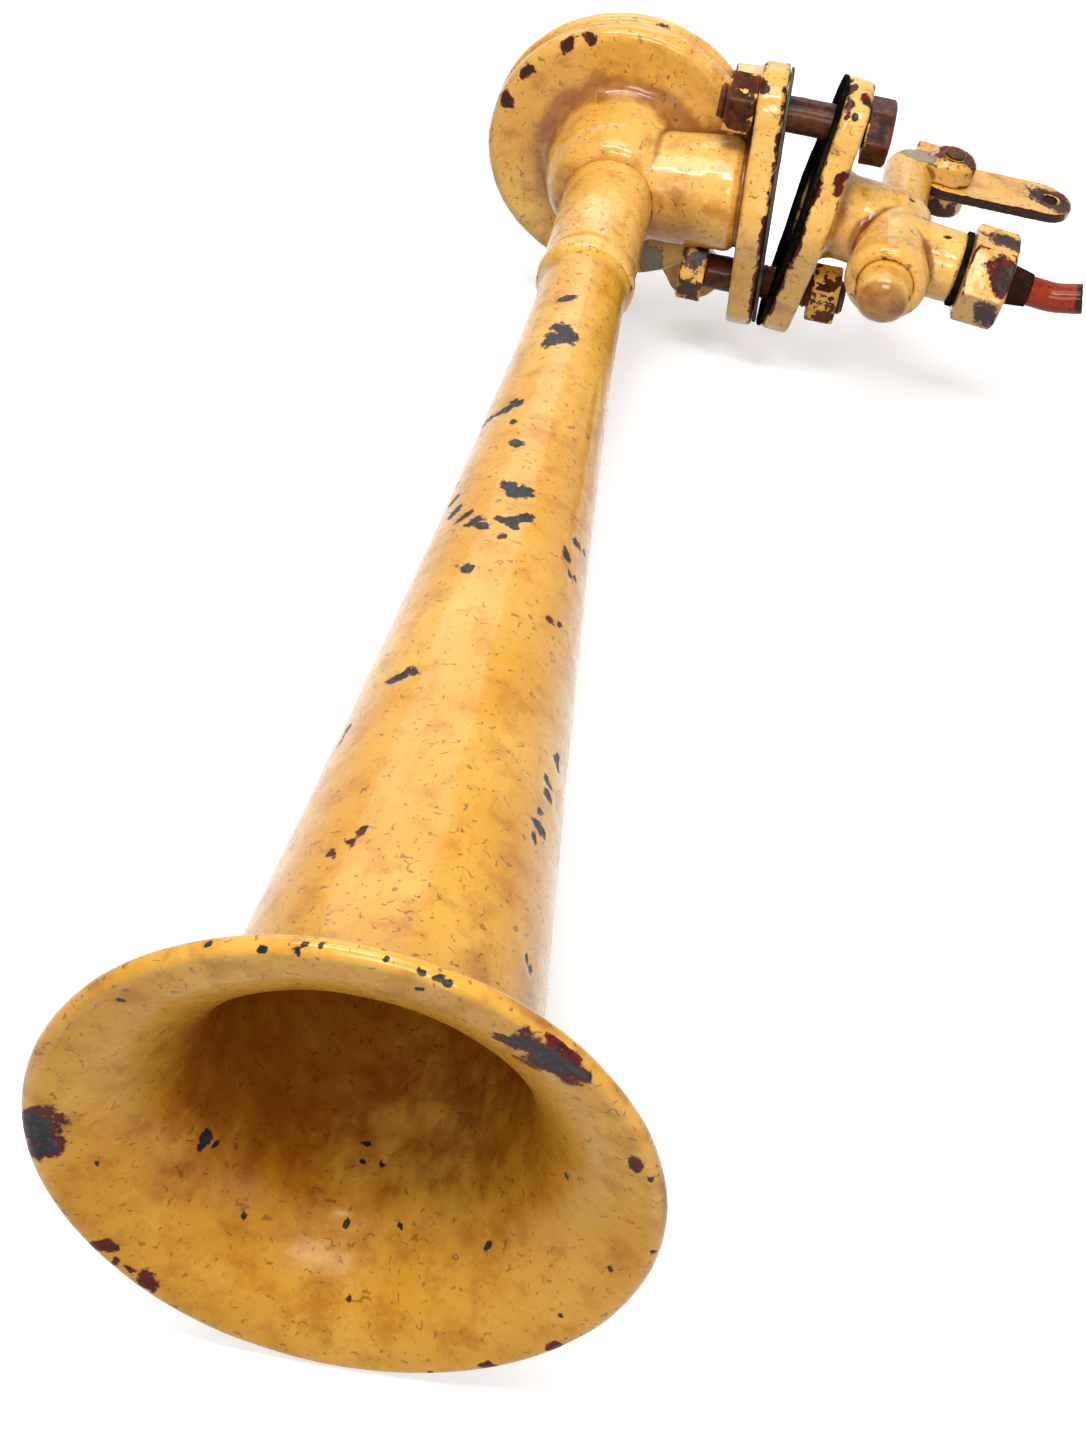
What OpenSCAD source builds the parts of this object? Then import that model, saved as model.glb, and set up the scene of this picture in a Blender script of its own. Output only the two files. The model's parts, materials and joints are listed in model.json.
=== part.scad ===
// Ship's fog horn: a long flared bell on a round diaphragm head, fed from the side through a bolted
// two-hole flange joint that stands slightly open, with a lever-worked air valve and a union inlet.
// Millimetres. Z is up. The horn axis runs along Y with the mouth towards -Y, the feed side is +X.
// The origin is on the horn axis at the head's flat back face.
// Stations called h are distances forward of the back face, along -Y.

/* [Bell] */
// Overall length from the back face to the mouth
horn_length = 466; // [380:1:560]
// Outer radius at the mouth lip
mouth_radius = 67; // [56:0.5:81]
// Outer radius of the bell's small end
bell_small_radius = 13.6; // [11:0.1:16]
// Outer radius that the plain cone would reach at the mouth
cone_mouth_radius = 39.4; // [33:0.2:47]
// Exponent of the slow cone curve
cone_power = 1.3; // [1.1:0.05:1.6]
// Depth of the sudden flare, which opens as a quarter of an ellipse
flare_depth = 31; // [24:0.5:40]
// Sheet thickness of the bell
bell_wall = 1.6; // [1.2:0.1:2.4]
// Radius of the rolled bead round the mouth lip
lip_radius = 2.3; // [1.8:0.1:3]

/* [Neck] */
// Station where the neck tube leaves the hub
neck_start = 50; // [46:0.5:56]
// Station of the neck's front end, at the collar
neck_end = 108.5; // [90:0.5:130]
// Outer radius of the neck tube
neck_radius = 15.1; // [14.4:0.1:18]
// Length of the rounded collar at the neck's front end
collar_length = 7.5; // [6:0.5:12]
// How far the collar stands out from the neck tube
collar_rise = 0.8; // [0.5:0.1:2]
// How deep the bell's small end sits in the neck
bell_insert = 16; // [12:0.5:20]
// Radius of the air passage through the neck
throat_radius = 9.5; // [8:0.1:10.5]

/* [Head] */
// Outer radius of the round head
head_radius = 46.7; // [44:0.1:56]
// Station of the clamped diaphragm's mid plane
diaphragm_h = 11.5; // [10:0.1:14]
// Station of the head's front face at its rim
face_h = 20; // [18:0.1:24]
// Rounding of the head's front rim
rim_round = 3.8; // [2:0.1:5]
// Radius where the hub's fillet leaves the front face
hub_foot_radius = 30; // [27:0.2:36]
// Radius of the hub behind its dome
hub_radius = 23.6; // [22:0.1:28]
// Wall thickness of the head casting
head_wall = 4; // [3:0.1:5]
// Thickness of the diaphragm plate
diaphragm_t = 0.8; // [0.5:0.1:1.2]
// Thickness of each diaphragm gasket
head_gasket_t = 1; // [0.6:0.1:1.5]
// Radius of the screw circle on the rear cover
cover_screw_circle = 40; // [38:0.1:48]
// Number of rear cover screws
cover_screw_count = 6; // [4:1:10]
// Radius of a cover screw's shank
cover_screw_r = 2.5; // [2:0.1:3]

/* [Mounting lug] */
// Distance of the lug's eye from the horn axis
lug_circle = 57; // [55:0.1:68]
// Direction of the lug, from +X towards +Z
lug_angle = -60; // [-75:1:-45]
// Outer radius of the lug's round end
lug_radius = 9.6; // [8:0.1:11.5]
// Thickness of the lug
lug_t = 9; // [7:0.1:11]
// Radius of the bolt eye through the lug
lug_eye_r = 3.3; // [2.7:0.1:4.2]

/* [Flange joint] */
// Station of the feed branch's axis
branch_h = 36; // [34:0.1:42]
// Branch radius beside the hub
branch_r1 = 17.4; // [16:0.1:20]
// Branch radius beside the flange
branch_r2 = 19.4; // [18:0.1:22]
// Air passage radius through the branch
branch_bore = 13; // [10:0.1:14.5]
// Distance of the horn flange's joint face from the horn axis
flange_x = 55; // [52:0.1:66]
// Thickness of each flange
flange_t = 9; // [7.5:0.1:11]
// Distance between the two flange bolts
bolt_spacing = 63.5; // [53:0.1:76]
// Radius of a flange's rounded end
flange_end_r = 15.7; // [13:0.1:19]
// Half width of a flange at its middle
flange_mid_r = 25; // [21:0.1:30]
// Bevel on the edges of both flanges
flange_bevel = 1; // [0.5:0.1:1.6]
// Thickness of the gasket on the horn flange
horn_gasket_t = 1.4; // [1:0.1:2]
// Thickness of the gasket on the valve flange
valve_gasket_t = 1.6; // [1:0.1:3]
// How far the valve flange stands open at the top, degrees
flange_tilt = 10; // [8:0.1:12]
// Lean of the whole flange joint on the branch
joint_lean = 1.8; // [0:0.1:3]
// Flange bolt radius
bolt_r = 6; // [5:0.1:7]
// Hexagon across the flats on the flange bolts and nuts
bolt_flats = 19.6; // [18:0.1:25]
// Height of a bolt head
bolt_head_t = 8.6; // [7:0.1:11]
// Height of a flange nut
bolt_nut_t = 9.6; // [8:0.1:11.5]
// Thread standing out beyond a flange nut
bolt_end = 2.4; // [1:0.1:4]
// Loose play left under the lower nut
lower_play = 2.4; // [1:0.1:3]

/* [Valve body] */
// How far the valve is swung round towards the front beyond its neck, degrees
valve_yaw = 3.5; // [0:0.1:4.5]
// Distance of the barrel's axis from the valve flange's joint face
barrel_x = 32.5; // [28:0.1:36]
// Barrel radius at its rear end
barrel_r = 11.8; // [11:0.1:14]
// Barrel radius at its front shoulder
shoulder_r = 13.7; // [12.8:0.1:16.5]
// Rounding of the front shoulder
shoulder_round = 3.6; // [2.5:0.1:4]
// Barrel's front end, forward of the flange axis
barrel_front = 37; // [35:0.1:44]
// Barrel's rear end, behind the flange axis
barrel_rear = 9; // [8:0.1:11]
// Neck radius beside the flange
valve_neck_r1 = 18; // [16:0.1:21]
// Neck radius beside the barrel
valve_neck_r2 = 14.4; // [13:0.1:17]
// Bore of the chamber ahead of the seat
chamber_r = 9.2; // [8.6:0.1:10]
// Bore of the outlet passage towards the horn
outlet_r = 4.6; // [4:0.1:4.7]
// Distance of the inlet's axis forward of the flange axis
inlet_offset = 11.1; // [10.6:0.1:13.3]
// Radius of the inlet stub
inlet_r = 12; // [11:0.1:14]
// Length of the inlet stub from the barrel's axis
inlet_length = 22; // [20:0.1:26]
// Bore of the inlet
inlet_bore = 4; // [3.5:0.1:5]
// Radius of the end cap
cap_r = 8.9; // [8:0.1:10]
// Length of the end cap ahead of the barrel
cap_length = 12.5; // [10.5:0.1:15]

/* [Valve works] */
// Radius of the valve stem
stem_r = 3; // [2.5:0.1:3.5]
// Radius of the seat's opening
seat_r = 5.6; // [4.8:0.1:6.2]
// Radius of the valve disc
disc_r = 7.8; // [7:0.1:8.6]
// Thickness of the valve disc
disc_t = 3; // [2:0.1:3.6]
// Thickness of the soft facing on the disc
facing_t = 1.5; // [1:0.1:2]
// Lift of the valve at full lever travel
valve_lift = 3; // [2:0.1:3.6]
// Coils in the return spring
spring_coils = 6; // [4:1:8]
// Wire diameter of the return spring
spring_wire = 1.2; // [0.8:0.1:1.4]
// Mean radius of the return spring
spring_radius = 5.6; // [5:0.1:6.4]

/* [Yoke and lever] */
// Radius of the round yoke post
yoke_r = 8.7; // [8.2:0.1:10.4]
// Distance of the yoke's rear end behind the flange axis
yoke_rear = 48.5; // [47.5:0.1:57]
// Rounding at the yoke post's rear end
yoke_round = 4; // [2:0.1:5.5]
// Distance of the lever pin beyond the barrel's axis
pin_x = 13.3; // [12.5:0.1:16]
// Distance of the lever pin behind the flange axis
pin_y = 46.3; // [45:0.1:50]
// Radius of the lever pin
pin_r = 3; // [2.5:0.1:3.5]
// Radius of the yoke's eye round the pin
eye_r = 8.5; // [7.5:0.1:10]
// Half height of the yoke's eye
eye_half = 10.6; // [9:0.1:12.5]
// Lever plate thickness
lever_t = 4; // [3:0.1:4.8]
// Lever width
lever_w = 22; // [19:0.1:22.6]
// Distance from the pin to the lever's outer end
lever_reach = 46; // [40:0.1:55]
// Radius of the lanyard eye in the lever
lever_eye_r = 2.8; // [2.3:0.1:3.4]
// Width of the lever's heel, which bears on the stem
heel_w = 7.4; // [6:0.1:8.6]
// Rest angle of the lever behind the square position
lever_rest = 10.5; // [7:0.5:13]

/* [Union and supply] */
// Thickness of the soft washer behind the union nut
washer_t = 2.5; // [1.5:0.1:3]
// Union nut across the flats
nut_flats = 29; // [28:0.1:35]
// Union nut length
nut_length = 15; // [13:0.1:18]
// Radius of the union's thread
thread_r = 10.6; // [9.5:0.1:11.4]
// Length of thread inside the nut
thread_length = 9; // [7:0.1:10]
// Radius of the supply tube
tube_r = 5; // [4:0.1:6]
// Wall of the supply tube
tube_wall = 1; // [0.8:0.1:1.2]
// Straight tube ahead of the bend
tube_lead = 5.4; // [2:0.1:8]
// Centreline radius of the tube's bend
bend_radius = 20; // [17:0.5:30]
// Angle of the tube's bend
bend_angle = 18; // [15:0.5:28]
// Straight tube after the bend
tube_end = 6; // [5:0.1:12]

/* [Hidden] */
$fn = 64;
// Radial clearance of a turning or sliding fit
run = 0.05;
// Clearance between seated faces
seat = 0.05;
// Air gap between pieces that must not rub
air = 0.4;
// Turn that brings a flat of each hexagon towards the upper front
hex_turn = 28;
front_gasket_h = diaphragm_h + diaphragm_t / 2;
casting_h = front_gasket_h + head_gasket_t;
cover_h = diaphragm_h - diaphragm_t / 2 - head_gasket_t;
cavity_r = cover_screw_circle - cover_screw_r - 2.4;
cover_rim_h = 4;
cover_wall = 2.6;
screw_head_t = 3;
hub_cavity_r = hub_radius - head_wall - 0.6;
hub_front_h = neck_start - 9;
spigot_r = throat_radius + 3;
nozzle_r = throat_radius + 1.4;
flare_start = neck_end;
bell_run = horn_length - flare_start - bell_wall + 0.45;
flange_mid_x = flange_x - flange_t / 2;
valve_x = flange_x + horn_gasket_t + valve_gasket_t * cos(flange_tilt) + seat
    + (bolt_spacing / 2 + flange_end_r) * sin(flange_tilt);
valve_z = -0.5;
bolt_tilt = 0.38 * flange_tilt;
bolt_lean = flange_tilt - bolt_tilt;
bolt_hole_r = bolt_r / cos(bolt_lean) + flange_t / 2 * tan(bolt_lean) + 0.7;
bolt_corner = bolt_flats / 2 / cos(30);
upper_grip = face_u(bolt_spacing / 2, flange_t) + bolt_corner * tan(bolt_lean) + seat;
lower_grip = face_u(-bolt_spacing / 2, flange_t) + bolt_corner * tan(bolt_lean) + lower_play;
lower_tip = lower_grip + bolt_nut_t + bolt_end;
nut_u = -flange_t / 2 / cos(bolt_tilt) - bolt_corner * tan(bolt_tilt) - seat;
bolt_length = upper_grip - nut_u + bolt_nut_t + bolt_end;
hexagon_gap = 0.2;
room_u = nut_u - hexagon_gap * tan(bolt_tilt);
joint_top = bolt_spacing / 2 + flange_end_r;
seat_b = 4.9;
seat_t = 2.1;
seat_outer = chamber_r - 0.05;
facing_b = seat_b + seat_t + seat;
disc_b = facing_b + facing_t;
spring_b = disc_b + disc_t + 0.1;
cap_seat_b = barrel_front + cap_length - 5;
spring_length = cap_seat_b - 0.1 - spring_b;
slot_half = lever_t / 2 + 0.3;
slot_front = pin_y - lever_w / 2 - 0.6;
stem_end = pin_y - pin_x * sin(lever_rest) - heel_w / 2 - 0.3;
inlet_face = barrel_x + inlet_length;
nut_x = inlet_face + washer_t;
thread_end = inlet_face + washer_t + thread_length;
nipple_x = thread_end + seat;
nipple_collar_t = 2;
nipple_r = tube_r + 1.8;
nut_end = nut_x + nut_length;
nipple_end = nut_end + 8;
bend_x = nipple_end + tube_lead;
throw_deg = asin(sin(lever_rest) + valve_lift / pin_x) - lever_rest;

paint = [0.80, 0.58, 0.24];
rubber = [0.08, 0.08, 0.08];
rust = [0.30, 0.19, 0.13];
brass = [0.72, 0.55, 0.28];
steel = [0.55, 0.56, 0.58];
copper = [0.60, 0.26, 0.14];

// Distance along a flange bolt, from the horn flange's mid plane, to a plane t beyond the valve joint face
function face_u(z, t) =
    (t - (flange_mid_x - valve_x) * cos(flange_tilt) + (z - valve_z) * sin(flange_tilt)) / cos(bolt_lean);

// Outer radius of the bell's slow cone, t from 0 at its small end to 1 at the mouth
function cone_r(t) = bell_small_radius + (cone_mouth_radius - bell_small_radius) * pow(t, cone_power);

// Outer outline of the bell: its share of the cone, then an angle round the flare's ellipse
function bell_point(t, a) = [
    cone_r(t) + (mouth_radius - cone_mouth_radius) * (1 - cos(a)), flare_start + bell_run * t
];

// Direction along that outline
function bell_way(t, a) = let (
    cone = (cone_mouth_radius - bell_small_radius) * cone_power * pow(t, cone_power - 1) / bell_run,
    way = [cone * cos(a) + (mouth_radius - cone_mouth_radius) / flare_depth * sin(a), cos(a)]
) way / norm(way);

// Points on an arc round c
function arc(c, rx, ry, a0, a1, n) =
    [for (i = [0:n]) [c[0] + rx * cos(a0 + (a1 - a0) * i / n), c[1] + ry * sin(a0 + (a1 - a0) * i / n)]];

// Turns a shape built along Z so that it points forward, along -Y
module forward() {
    rotate([90, 0, 0])
        children();
}

// Turns a shape built along Z so that it points sideways, along +X
module sideways() {
    rotate([0, 90, 0])
        children();
}

// Places a shape built round the feed branch's axis
module at_branch() {
    translate([0, -branch_h, 0])
        sideways()
            children();
}

// Leans a shape with the flange joint, about the upper end of the horn's flange
module leaning() {
    translate([flange_x, 0, joint_top])
        rotate([0, joint_lean, 0])
            translate([-flange_x, 0, -joint_top])
                children();
}

// Places a shape built in the leaning valve's own frame, X outward from its joint face
module at_valve() {
    leaning()
        translate([valve_x, -branch_h, valve_z])
            rotate([0, flange_tilt, 0])
                children();
}

// Places a shape built in the frame of the valve's working end, swung round from its neck and not leaning
module at_works() {
    at_valve()
        rotate([0, -joint_lean, 0])
            rotate([0, 0, -valve_yaw])
                children();
}

// Places a shape built along the valve barrel's axis, Z forward from the flange axis
module at_barrel() {
    at_works()
        translate([barrel_x, 0, 0])
            forward()
                children();
}

// Places a shape built along the inlet's axis, Z outward from the valve's joint face
module at_inlet() {
    at_works()
        translate([0, -inlet_offset, 0])
            sideways()
                children();
}

// Places a shape built along a flange bolt, Z outward from the horn flange's mid plane
module at_bolt(z) {
    leaning()
        translate([flange_mid_x, -branch_h, z])
            rotate([0, bolt_tilt, 0])
                sideways()
                    children();
}

// Places a shape in the lever's plane, X along the lever at rest, origin on the pin
module at_pin() {
    at_works()
        translate([barrel_x + pin_x, pin_y, 0])
            children();
}

// A round ring standing on z0
module ring(r_out, r_in, z0, z1) {
    translate([0, 0, z0])
        difference() {
            cylinder(r = r_out, h = z1 - z0);
            translate([0, 0, -1])
                cylinder(r = r_in, h = z1 - z0 + 2);
        }
}

// A round bar with a bevel on both ends
module bevelled_bar(r, z0, z1, bevel) {
    translate([0, 0, z0])
        rotate_extrude()
            polygon([[0, 0], [r - bevel, 0], [r, bevel], [r, z1 - z0 - bevel], [r - bevel, z1 - z0], [0, z1 - z0]]);
}

// A hexagon with its corners taken off by a cone at both ends, or at the far end only
module hexagon(flats, z0, z1, both, turn = hex_turn) {
    corner = flats / 2 / cos(30);
    cut = 0.14 * flats / 2;
    wide = corner + 0.5;
    bevel = (wide - corner + cut) * 0.58;
    intersection() {
        translate([0, 0, z0])
            rotate([0, 0, turn])
                cylinder(r = corner, h = z1 - z0, $fn = 6);
        translate([0, 0, z0])
            rotate_extrude()
                polygon(concat(
                    both ? [[0, 0], [corner - cut, 0], [wide, bevel]] : [[0, 0], [wide, 0]],
                    [[wide, z1 - z0 - bevel], [corner - cut, z1 - z0], [0, z1 - z0]]
                ));
    }
}

// One layer of the two-bolt flange outline, drawn in by d
module flange_layer(z0, z1, d) {
    lean = asin((flange_mid_r - flange_end_r) / (bolt_spacing / 2));
    far = bolt_spacing / 2;
    // The straight sides lie a hair inside the round ends
    mid = (flange_mid_r - d) * 0.994;
    end = (flange_end_r - d) * 0.994;
    translate([0, 0, z0]) {
        cylinder(r = flange_mid_r - d, h = z1 - z0);
        for (s = [-1, 1])
            translate([s * far, 0, 0])
                cylinder(r = flange_end_r - d, h = z1 - z0);
        linear_extrude(height = z1 - z0)
            polygon([
                [-far - end * sin(lean), end * cos(lean)], [-mid * sin(lean), mid * cos(lean)],
                [mid * sin(lean), mid * cos(lean)], [far + end * sin(lean), end * cos(lean)],
                [far + end * sin(lean), -end * cos(lean)], [mid * sin(lean), -mid * cos(lean)],
                [-mid * sin(lean), -mid * cos(lean)], [-far - end * sin(lean), -end * cos(lean)]
            ]);
    }
}

// A flange blank with stepped bevels, its long way along X
module flange_blank(z0, z1) {
    flange_layer(z0 + flange_bevel, z1 - flange_bevel, 0);
    flange_layer(z0 + flange_bevel * 0.4, z1 - flange_bevel * 0.4, flange_bevel * 0.3);
    flange_layer(z0, z1, flange_bevel);
}

// The two bolt holes and the air passage of a flange or gasket
module flange_holes(z0, z1, passage) {
    translate([0, 0, z0 - 1]) {
        if (passage > 0)
            cylinder(r = passage, h = z1 - z0 + 2);
        for (s = [-1, 1])
            translate([s * bolt_spacing / 2, 0, 0])
                cylinder(r = bolt_hole_r, h = z1 - z0 + 2);
    }
}

// Sheet bell: a slow cone that opens into a sudden flare with a rolled lip
module bell() {
    cone_steps = 14;
    flare_steps = 18;
    flare_share = flare_depth / bell_run;
    // Each stop along the outline: the share of the cone, and the angle round the flare
    stops = concat(
        [for (i = [0:cone_steps - 1]) [(1 - flare_share) * i / cone_steps, 0]],
        [for (i = [0:flare_steps]) let (a = 90 * i / flare_steps) [1 - flare_share * (1 - sin(a)), a]]
    );
    steps = len(stops) - 1;
    outer = [for (p = stops) bell_point(p[0], p[1])];
    inner = [for (p = stops)
        let (way = bell_way(p[0], p[1]))
        bell_point(p[0], p[1]) + bell_wall * [-way[1], way[0]]];
    lip = [mouth_radius - lip_radius, horn_length - lip_radius + 0.6];
    tail = flare_start - bell_insert;
    color(paint)
        forward() {
            difference() {
                rotate_extrude($fn = 128)
                    polygon(concat(
                        [[bell_small_radius, tail]],
                        outer,
                        [for (i = [steps:-1:0]) inner[i]],
                        [[bell_small_radius - bell_wall, tail]]
                    ));
                ring(mouth_radius + 30, lip[0], lip[1] - lip_radius - 6, horn_length + 20);
            }
            rotate_extrude($fn = 128)
                translate(lip)
                    circle(r = lip_radius, $fn = 24);
        }
}

// Neck tube with a spigot into the hub and a rounded collar round the bell's small end
module neck_tube() {
    collar_r = neck_radius + collar_rise;
    collar_start = neck_end - collar_length;
    edge = collar_length * 0.45;
    color(paint)
        forward()
            difference() {
                rotate_extrude()
                    polygon(concat(
                        [[0, hub_front_h], [spigot_r - run, hub_front_h], [spigot_r - run, neck_start + seat]],
                        [[neck_radius, neck_start + seat], [neck_radius, collar_start]],
                        arc([neck_radius, collar_start + edge], collar_rise, edge, -90, 0, 6),
                        arc([collar_r - edge * 0.7, neck_end - edge], edge * 0.7, edge, 0, 90, 8),
                        [[0, neck_end]]
                    ));
                translate([0, 0, hub_front_h - 1])
                    cylinder(r = nozzle_r + run, h = neck_start - hub_front_h);
                cylinder(r = throat_radius, h = horn_length);
                translate([0, 0, flare_start - bell_insert - 0.3])
                    cylinder(r = bell_small_radius + run, h = horn_length);
            }
}

// Nozzle that carries the air from the diaphragm's centre into the neck
module throat_nozzle() {
    start = front_gasket_h + 0.5;
    color(brass)
        forward()
            difference() {
                rotate_extrude()
                    polygon([
                        [0, start], [throat_radius - 0.4, start], [nozzle_r, start + 2],
                        [nozzle_r, neck_start - 1.3], [0, neck_start - 1.3]
                    ]);
                translate([0, 0, start - 1])
                    cylinder(r = throat_radius - 1.2, h = neck_start);
            }
}

// Head casting: rim, front face, domed hub, tapering feed branch, and a flange with a web behind its upper bolt
module head_casting() {
    foot = hub_foot_radius - hub_radius;
    dome = hub_radius - neck_radius - 0.1;
    dome_h = face_h + foot + 6;
    color(paint)
        difference() {
            union() {
                forward()
                    rotate_extrude($fn = 96)
                        polygon(concat(
                            [[0, casting_h], [head_radius - 0.8, casting_h], [head_radius, casting_h + 0.8]],
                            arc([head_radius - rim_round, face_h - rim_round], rim_round, rim_round, 0, 90, 8),
                            [[hub_foot_radius + 4, face_h - 0.7]],
                            arc([hub_foot_radius, face_h + foot - 0.7], foot, foot, -90, -180, 8),
                            [[hub_radius, dome_h]],
                            arc([neck_radius + 0.1, dome_h], dome, neck_start - dome_h, 0, 90, 10),
                            [[0, neck_start]]
                        ));
                at_branch() {
                    cylinder(r1 = branch_r1, r2 = branch_r2, h = flange_x - flange_t - 5);
                    translate([0, 0, flange_x - flange_t - 5])
                        cylinder(r1 = branch_r2, r2 = branch_r2 - 2.4, h = 2.4);
                    cylinder(r = branch_r2 - 2.4, h = flange_mid_x);
                }
                leaning()
                    at_branch()
                        flange_blank(flange_x - flange_t, flange_x);
                web();
            }
            forward() {
                // Keeps the leaning flange clear of the clamped joint behind the casting
                translate([0, 0, -1])
                    cylinder(r = head_radius + 0.5, h = casting_h + 1);
                translate([0, 0, casting_h - 1])
                    cylinder(r = cavity_r, h = face_h - head_wall - casting_h + 1);
                translate([0, 0, casting_h])
                    cylinder(r = hub_cavity_r, h = hub_front_h - casting_h);
                cylinder(r = spigot_r, h = horn_length);
                translate([0, 0, neck_start])
                    cylinder(r = neck_radius + run, h = horn_length);
                screw_places()
                    translate([0, 0, casting_h - 1])
                        cylinder(r = cover_screw_r, h = 5.5, $fn = 24);
            }
            at_branch()
                translate([0, 0, spigot_r + 1.5])
                    cylinder(r = branch_bore, h = flange_x);
            leaning()
                at_branch()
                    flange_holes(flange_x - flange_t, flange_x, 0);
            hexagon_room(bolt_spacing / 2, nut_u - bolt_nut_t - bolt_end - 1, room_u, hex_turn + 30);
            hexagon_room(-bolt_spacing / 2, lower_tip - bolt_length - bolt_head_t - 0.5, room_u, hex_turn);
        }
}

// Room for a bolt's hexagon, which bites into a casting only if the bolts stand close to it
module hexagon_room(z, u0, u1, turn) {
    at_bolt(z)
        translate([0, 0, u0])
            rotate([0, 0, turn])
                cylinder(r = bolt_corner + hexagon_gap, h = u1 - u0, $fn = 6);
}

// Web that ties the head's rim to the upper end of the horn's flange
module web() {
    start = head_radius * 0.78;
    top = bolt_spacing / 2 + 5.5;
    front = branch_h - bolt_corner - 0.6;
    back = face_h - rim_round - 2;
    translate([start, -front, 14])
        cube([flange_x - flange_t - start + 1, front - back, top - 14]);
}

// The places of the rear cover's screws
module screw_places() {
    for (i = [0:cover_screw_count - 1])
        rotate([0, 0, 360 / cover_screw_count * (i + 0.5) - 9])
            translate([cover_screw_circle, 0, 0])
                children();
}

// A flat ring of the clamped joint with its screw holes
module clamp_ring(r_in, h0, h1) {
    forward()
        difference() {
            ring(head_radius - 0.9, r_in, h0, h1);
            screw_places()
                cylinder(r = cover_screw_r + 0.3, h = h1 + 1, $fn = 24);
        }
}

// Gasket between the head casting and the diaphragm
module front_gasket() {
    color(rubber)
        clamp_ring(cavity_r, front_gasket_h, casting_h);
}

// Sounding diaphragm, clamped at its rim, with a round pad over the nozzle
module diaphragm() {
    color(steel) {
        clamp_ring(1, diaphragm_h - diaphragm_t / 2, diaphragm_h + diaphragm_t / 2);
        forward()
            translate([0, 0, diaphragm_h - diaphragm_t / 2 - 1])
                cylinder(r = throat_radius + 1, h = 1 + diaphragm_t);
    }
}

// Gasket between the diaphragm and the rear cover
module rear_gasket() {
    color(rubber)
        clamp_ring(cavity_r, cover_h, diaphragm_h - diaphragm_t / 2);
}

// Mounting lug, drawn solid: its eye is cut with the cover's other holes
module lug() {
    rotate([0, 0, lug_angle]) {
        translate([lug_circle, 0, 0])
            bevelled_bar(lug_radius, 0, lug_t, 1);
        translate([head_radius - 9, -lug_radius, cover_rim_h - 2])
            cube([lug_circle - head_radius + 9, 2 * lug_radius, lug_t - cover_rim_h + 1]);
    }
}

// Dished rear cover with a flat pad at the back and a mounting lug
module rear_cover() {
    pad_r = cavity_r - 7;
    color(paint)
        forward()
            difference() {
                union() {
                    rotate_extrude($fn = 96)
                        polygon(concat(
                            [[0, 0], [pad_r - 1.5, 0], [pad_r, 1.5], [pad_r + 1.5, cover_rim_h]],
                            arc([head_radius - 2, cover_rim_h + 2], 2, 2, -90, 0, 6),
                            [[head_radius, cover_h - 0.8], [head_radius - 0.8, cover_h], [0, cover_h]]
                        ));
                    lug();
                }
                translate([0, 0, cover_rim_h + cover_wall])
                    cylinder(r = cavity_r, h = horn_length);
                rotate([0, 0, lug_angle])
                    translate([lug_circle, 0, -1])
                        cylinder(r = lug_eye_r, h = lug_t + 2);
                screw_places()
                    translate([0, 0, -1])
                        cylinder(r = cover_screw_r + 0.3, h = cover_h + 2, $fn = 24);
            }
}

// Slotted screws that hold the rear cover, diaphragm and head casting together
module cover_screws() {
    head_r = cover_screw_r * 1.7;
    color(rust)
        forward()
            screw_places()
                difference() {
                    union() {
                        bevelled_bar(head_r, cover_rim_h - screw_head_t - seat, cover_rim_h - seat, 0.5);
                        translate([0, 0, cover_rim_h - 1])
                            cylinder(r = cover_screw_r - 0.04, h = casting_h + 3.5 - cover_rim_h, $fn = 24);
                    }
                    translate([-head_r - 1, -0.5, cover_rim_h - screw_head_t - 1])
                        cube([2 * head_r + 2, 1, 2.2]);
                }
}

// Thin gasket left on the horn's flange
module horn_gasket() {
    z0 = flange_x + seat;
    z1 = flange_x + horn_gasket_t;
    color(steel)
        leaning()
            at_branch()
                difference() {
                    flange_layer(z0, z1, flange_bevel);
                    flange_holes(z0, z1, branch_bore);
                }
}

// Black gasket left on the leaning valve flange
module valve_gasket() {
    color(rubber)
        at_valve()
            sideways()
                difference() {
                    flange_layer(-valve_gasket_t, -seat, 0);
                    flange_holes(-valve_gasket_t, -seat, branch_bore);
                }
}

// Hexagon bolt through the open end of the joint, its head on the valve side
module upper_bolt() {
    color(rust)
        at_bolt(bolt_spacing / 2) {
            hexagon(bolt_flats, upper_grip, upper_grip + bolt_head_t, false);
            bevelled_bar(bolt_r, upper_grip - bolt_length, upper_grip + 1, 0.8);
        }
}

// Nut on the upper bolt, drawn up to the horn's flange
module upper_nut() {
    color(rust)
        at_bolt(bolt_spacing / 2)
            difference() {
                hexagon(bolt_flats, nut_u - bolt_nut_t, nut_u, true, hex_turn + 30);
                translate([0, 0, nut_u - bolt_nut_t - 1])
                    cylinder(r = bolt_r + run, h = bolt_nut_t + 2);
            }
}

// Hexagon bolt through the closed end of the joint, left long on the horn side
module lower_bolt() {
    color(rust)
        at_bolt(-bolt_spacing / 2) {
            mirror([0, 0, 1])
                hexagon(bolt_flats, bolt_length - lower_tip, bolt_length - lower_tip + bolt_head_t, false);
            bevelled_bar(bolt_r, lower_tip - bolt_length - 1, lower_tip, 0.8);
        }
}

// Nut on the lower bolt, standing a little off the valve flange
module lower_nut() {
    color(rust)
        at_bolt(-bolt_spacing / 2)
            difference() {
                hexagon(bolt_flats, lower_grip, lower_grip + bolt_nut_t, true, hex_turn + 30);
                translate([0, 0, lower_grip - 1])
                    cylinder(r = bolt_r + run, h = bolt_nut_t + 2);
            }
}

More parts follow.
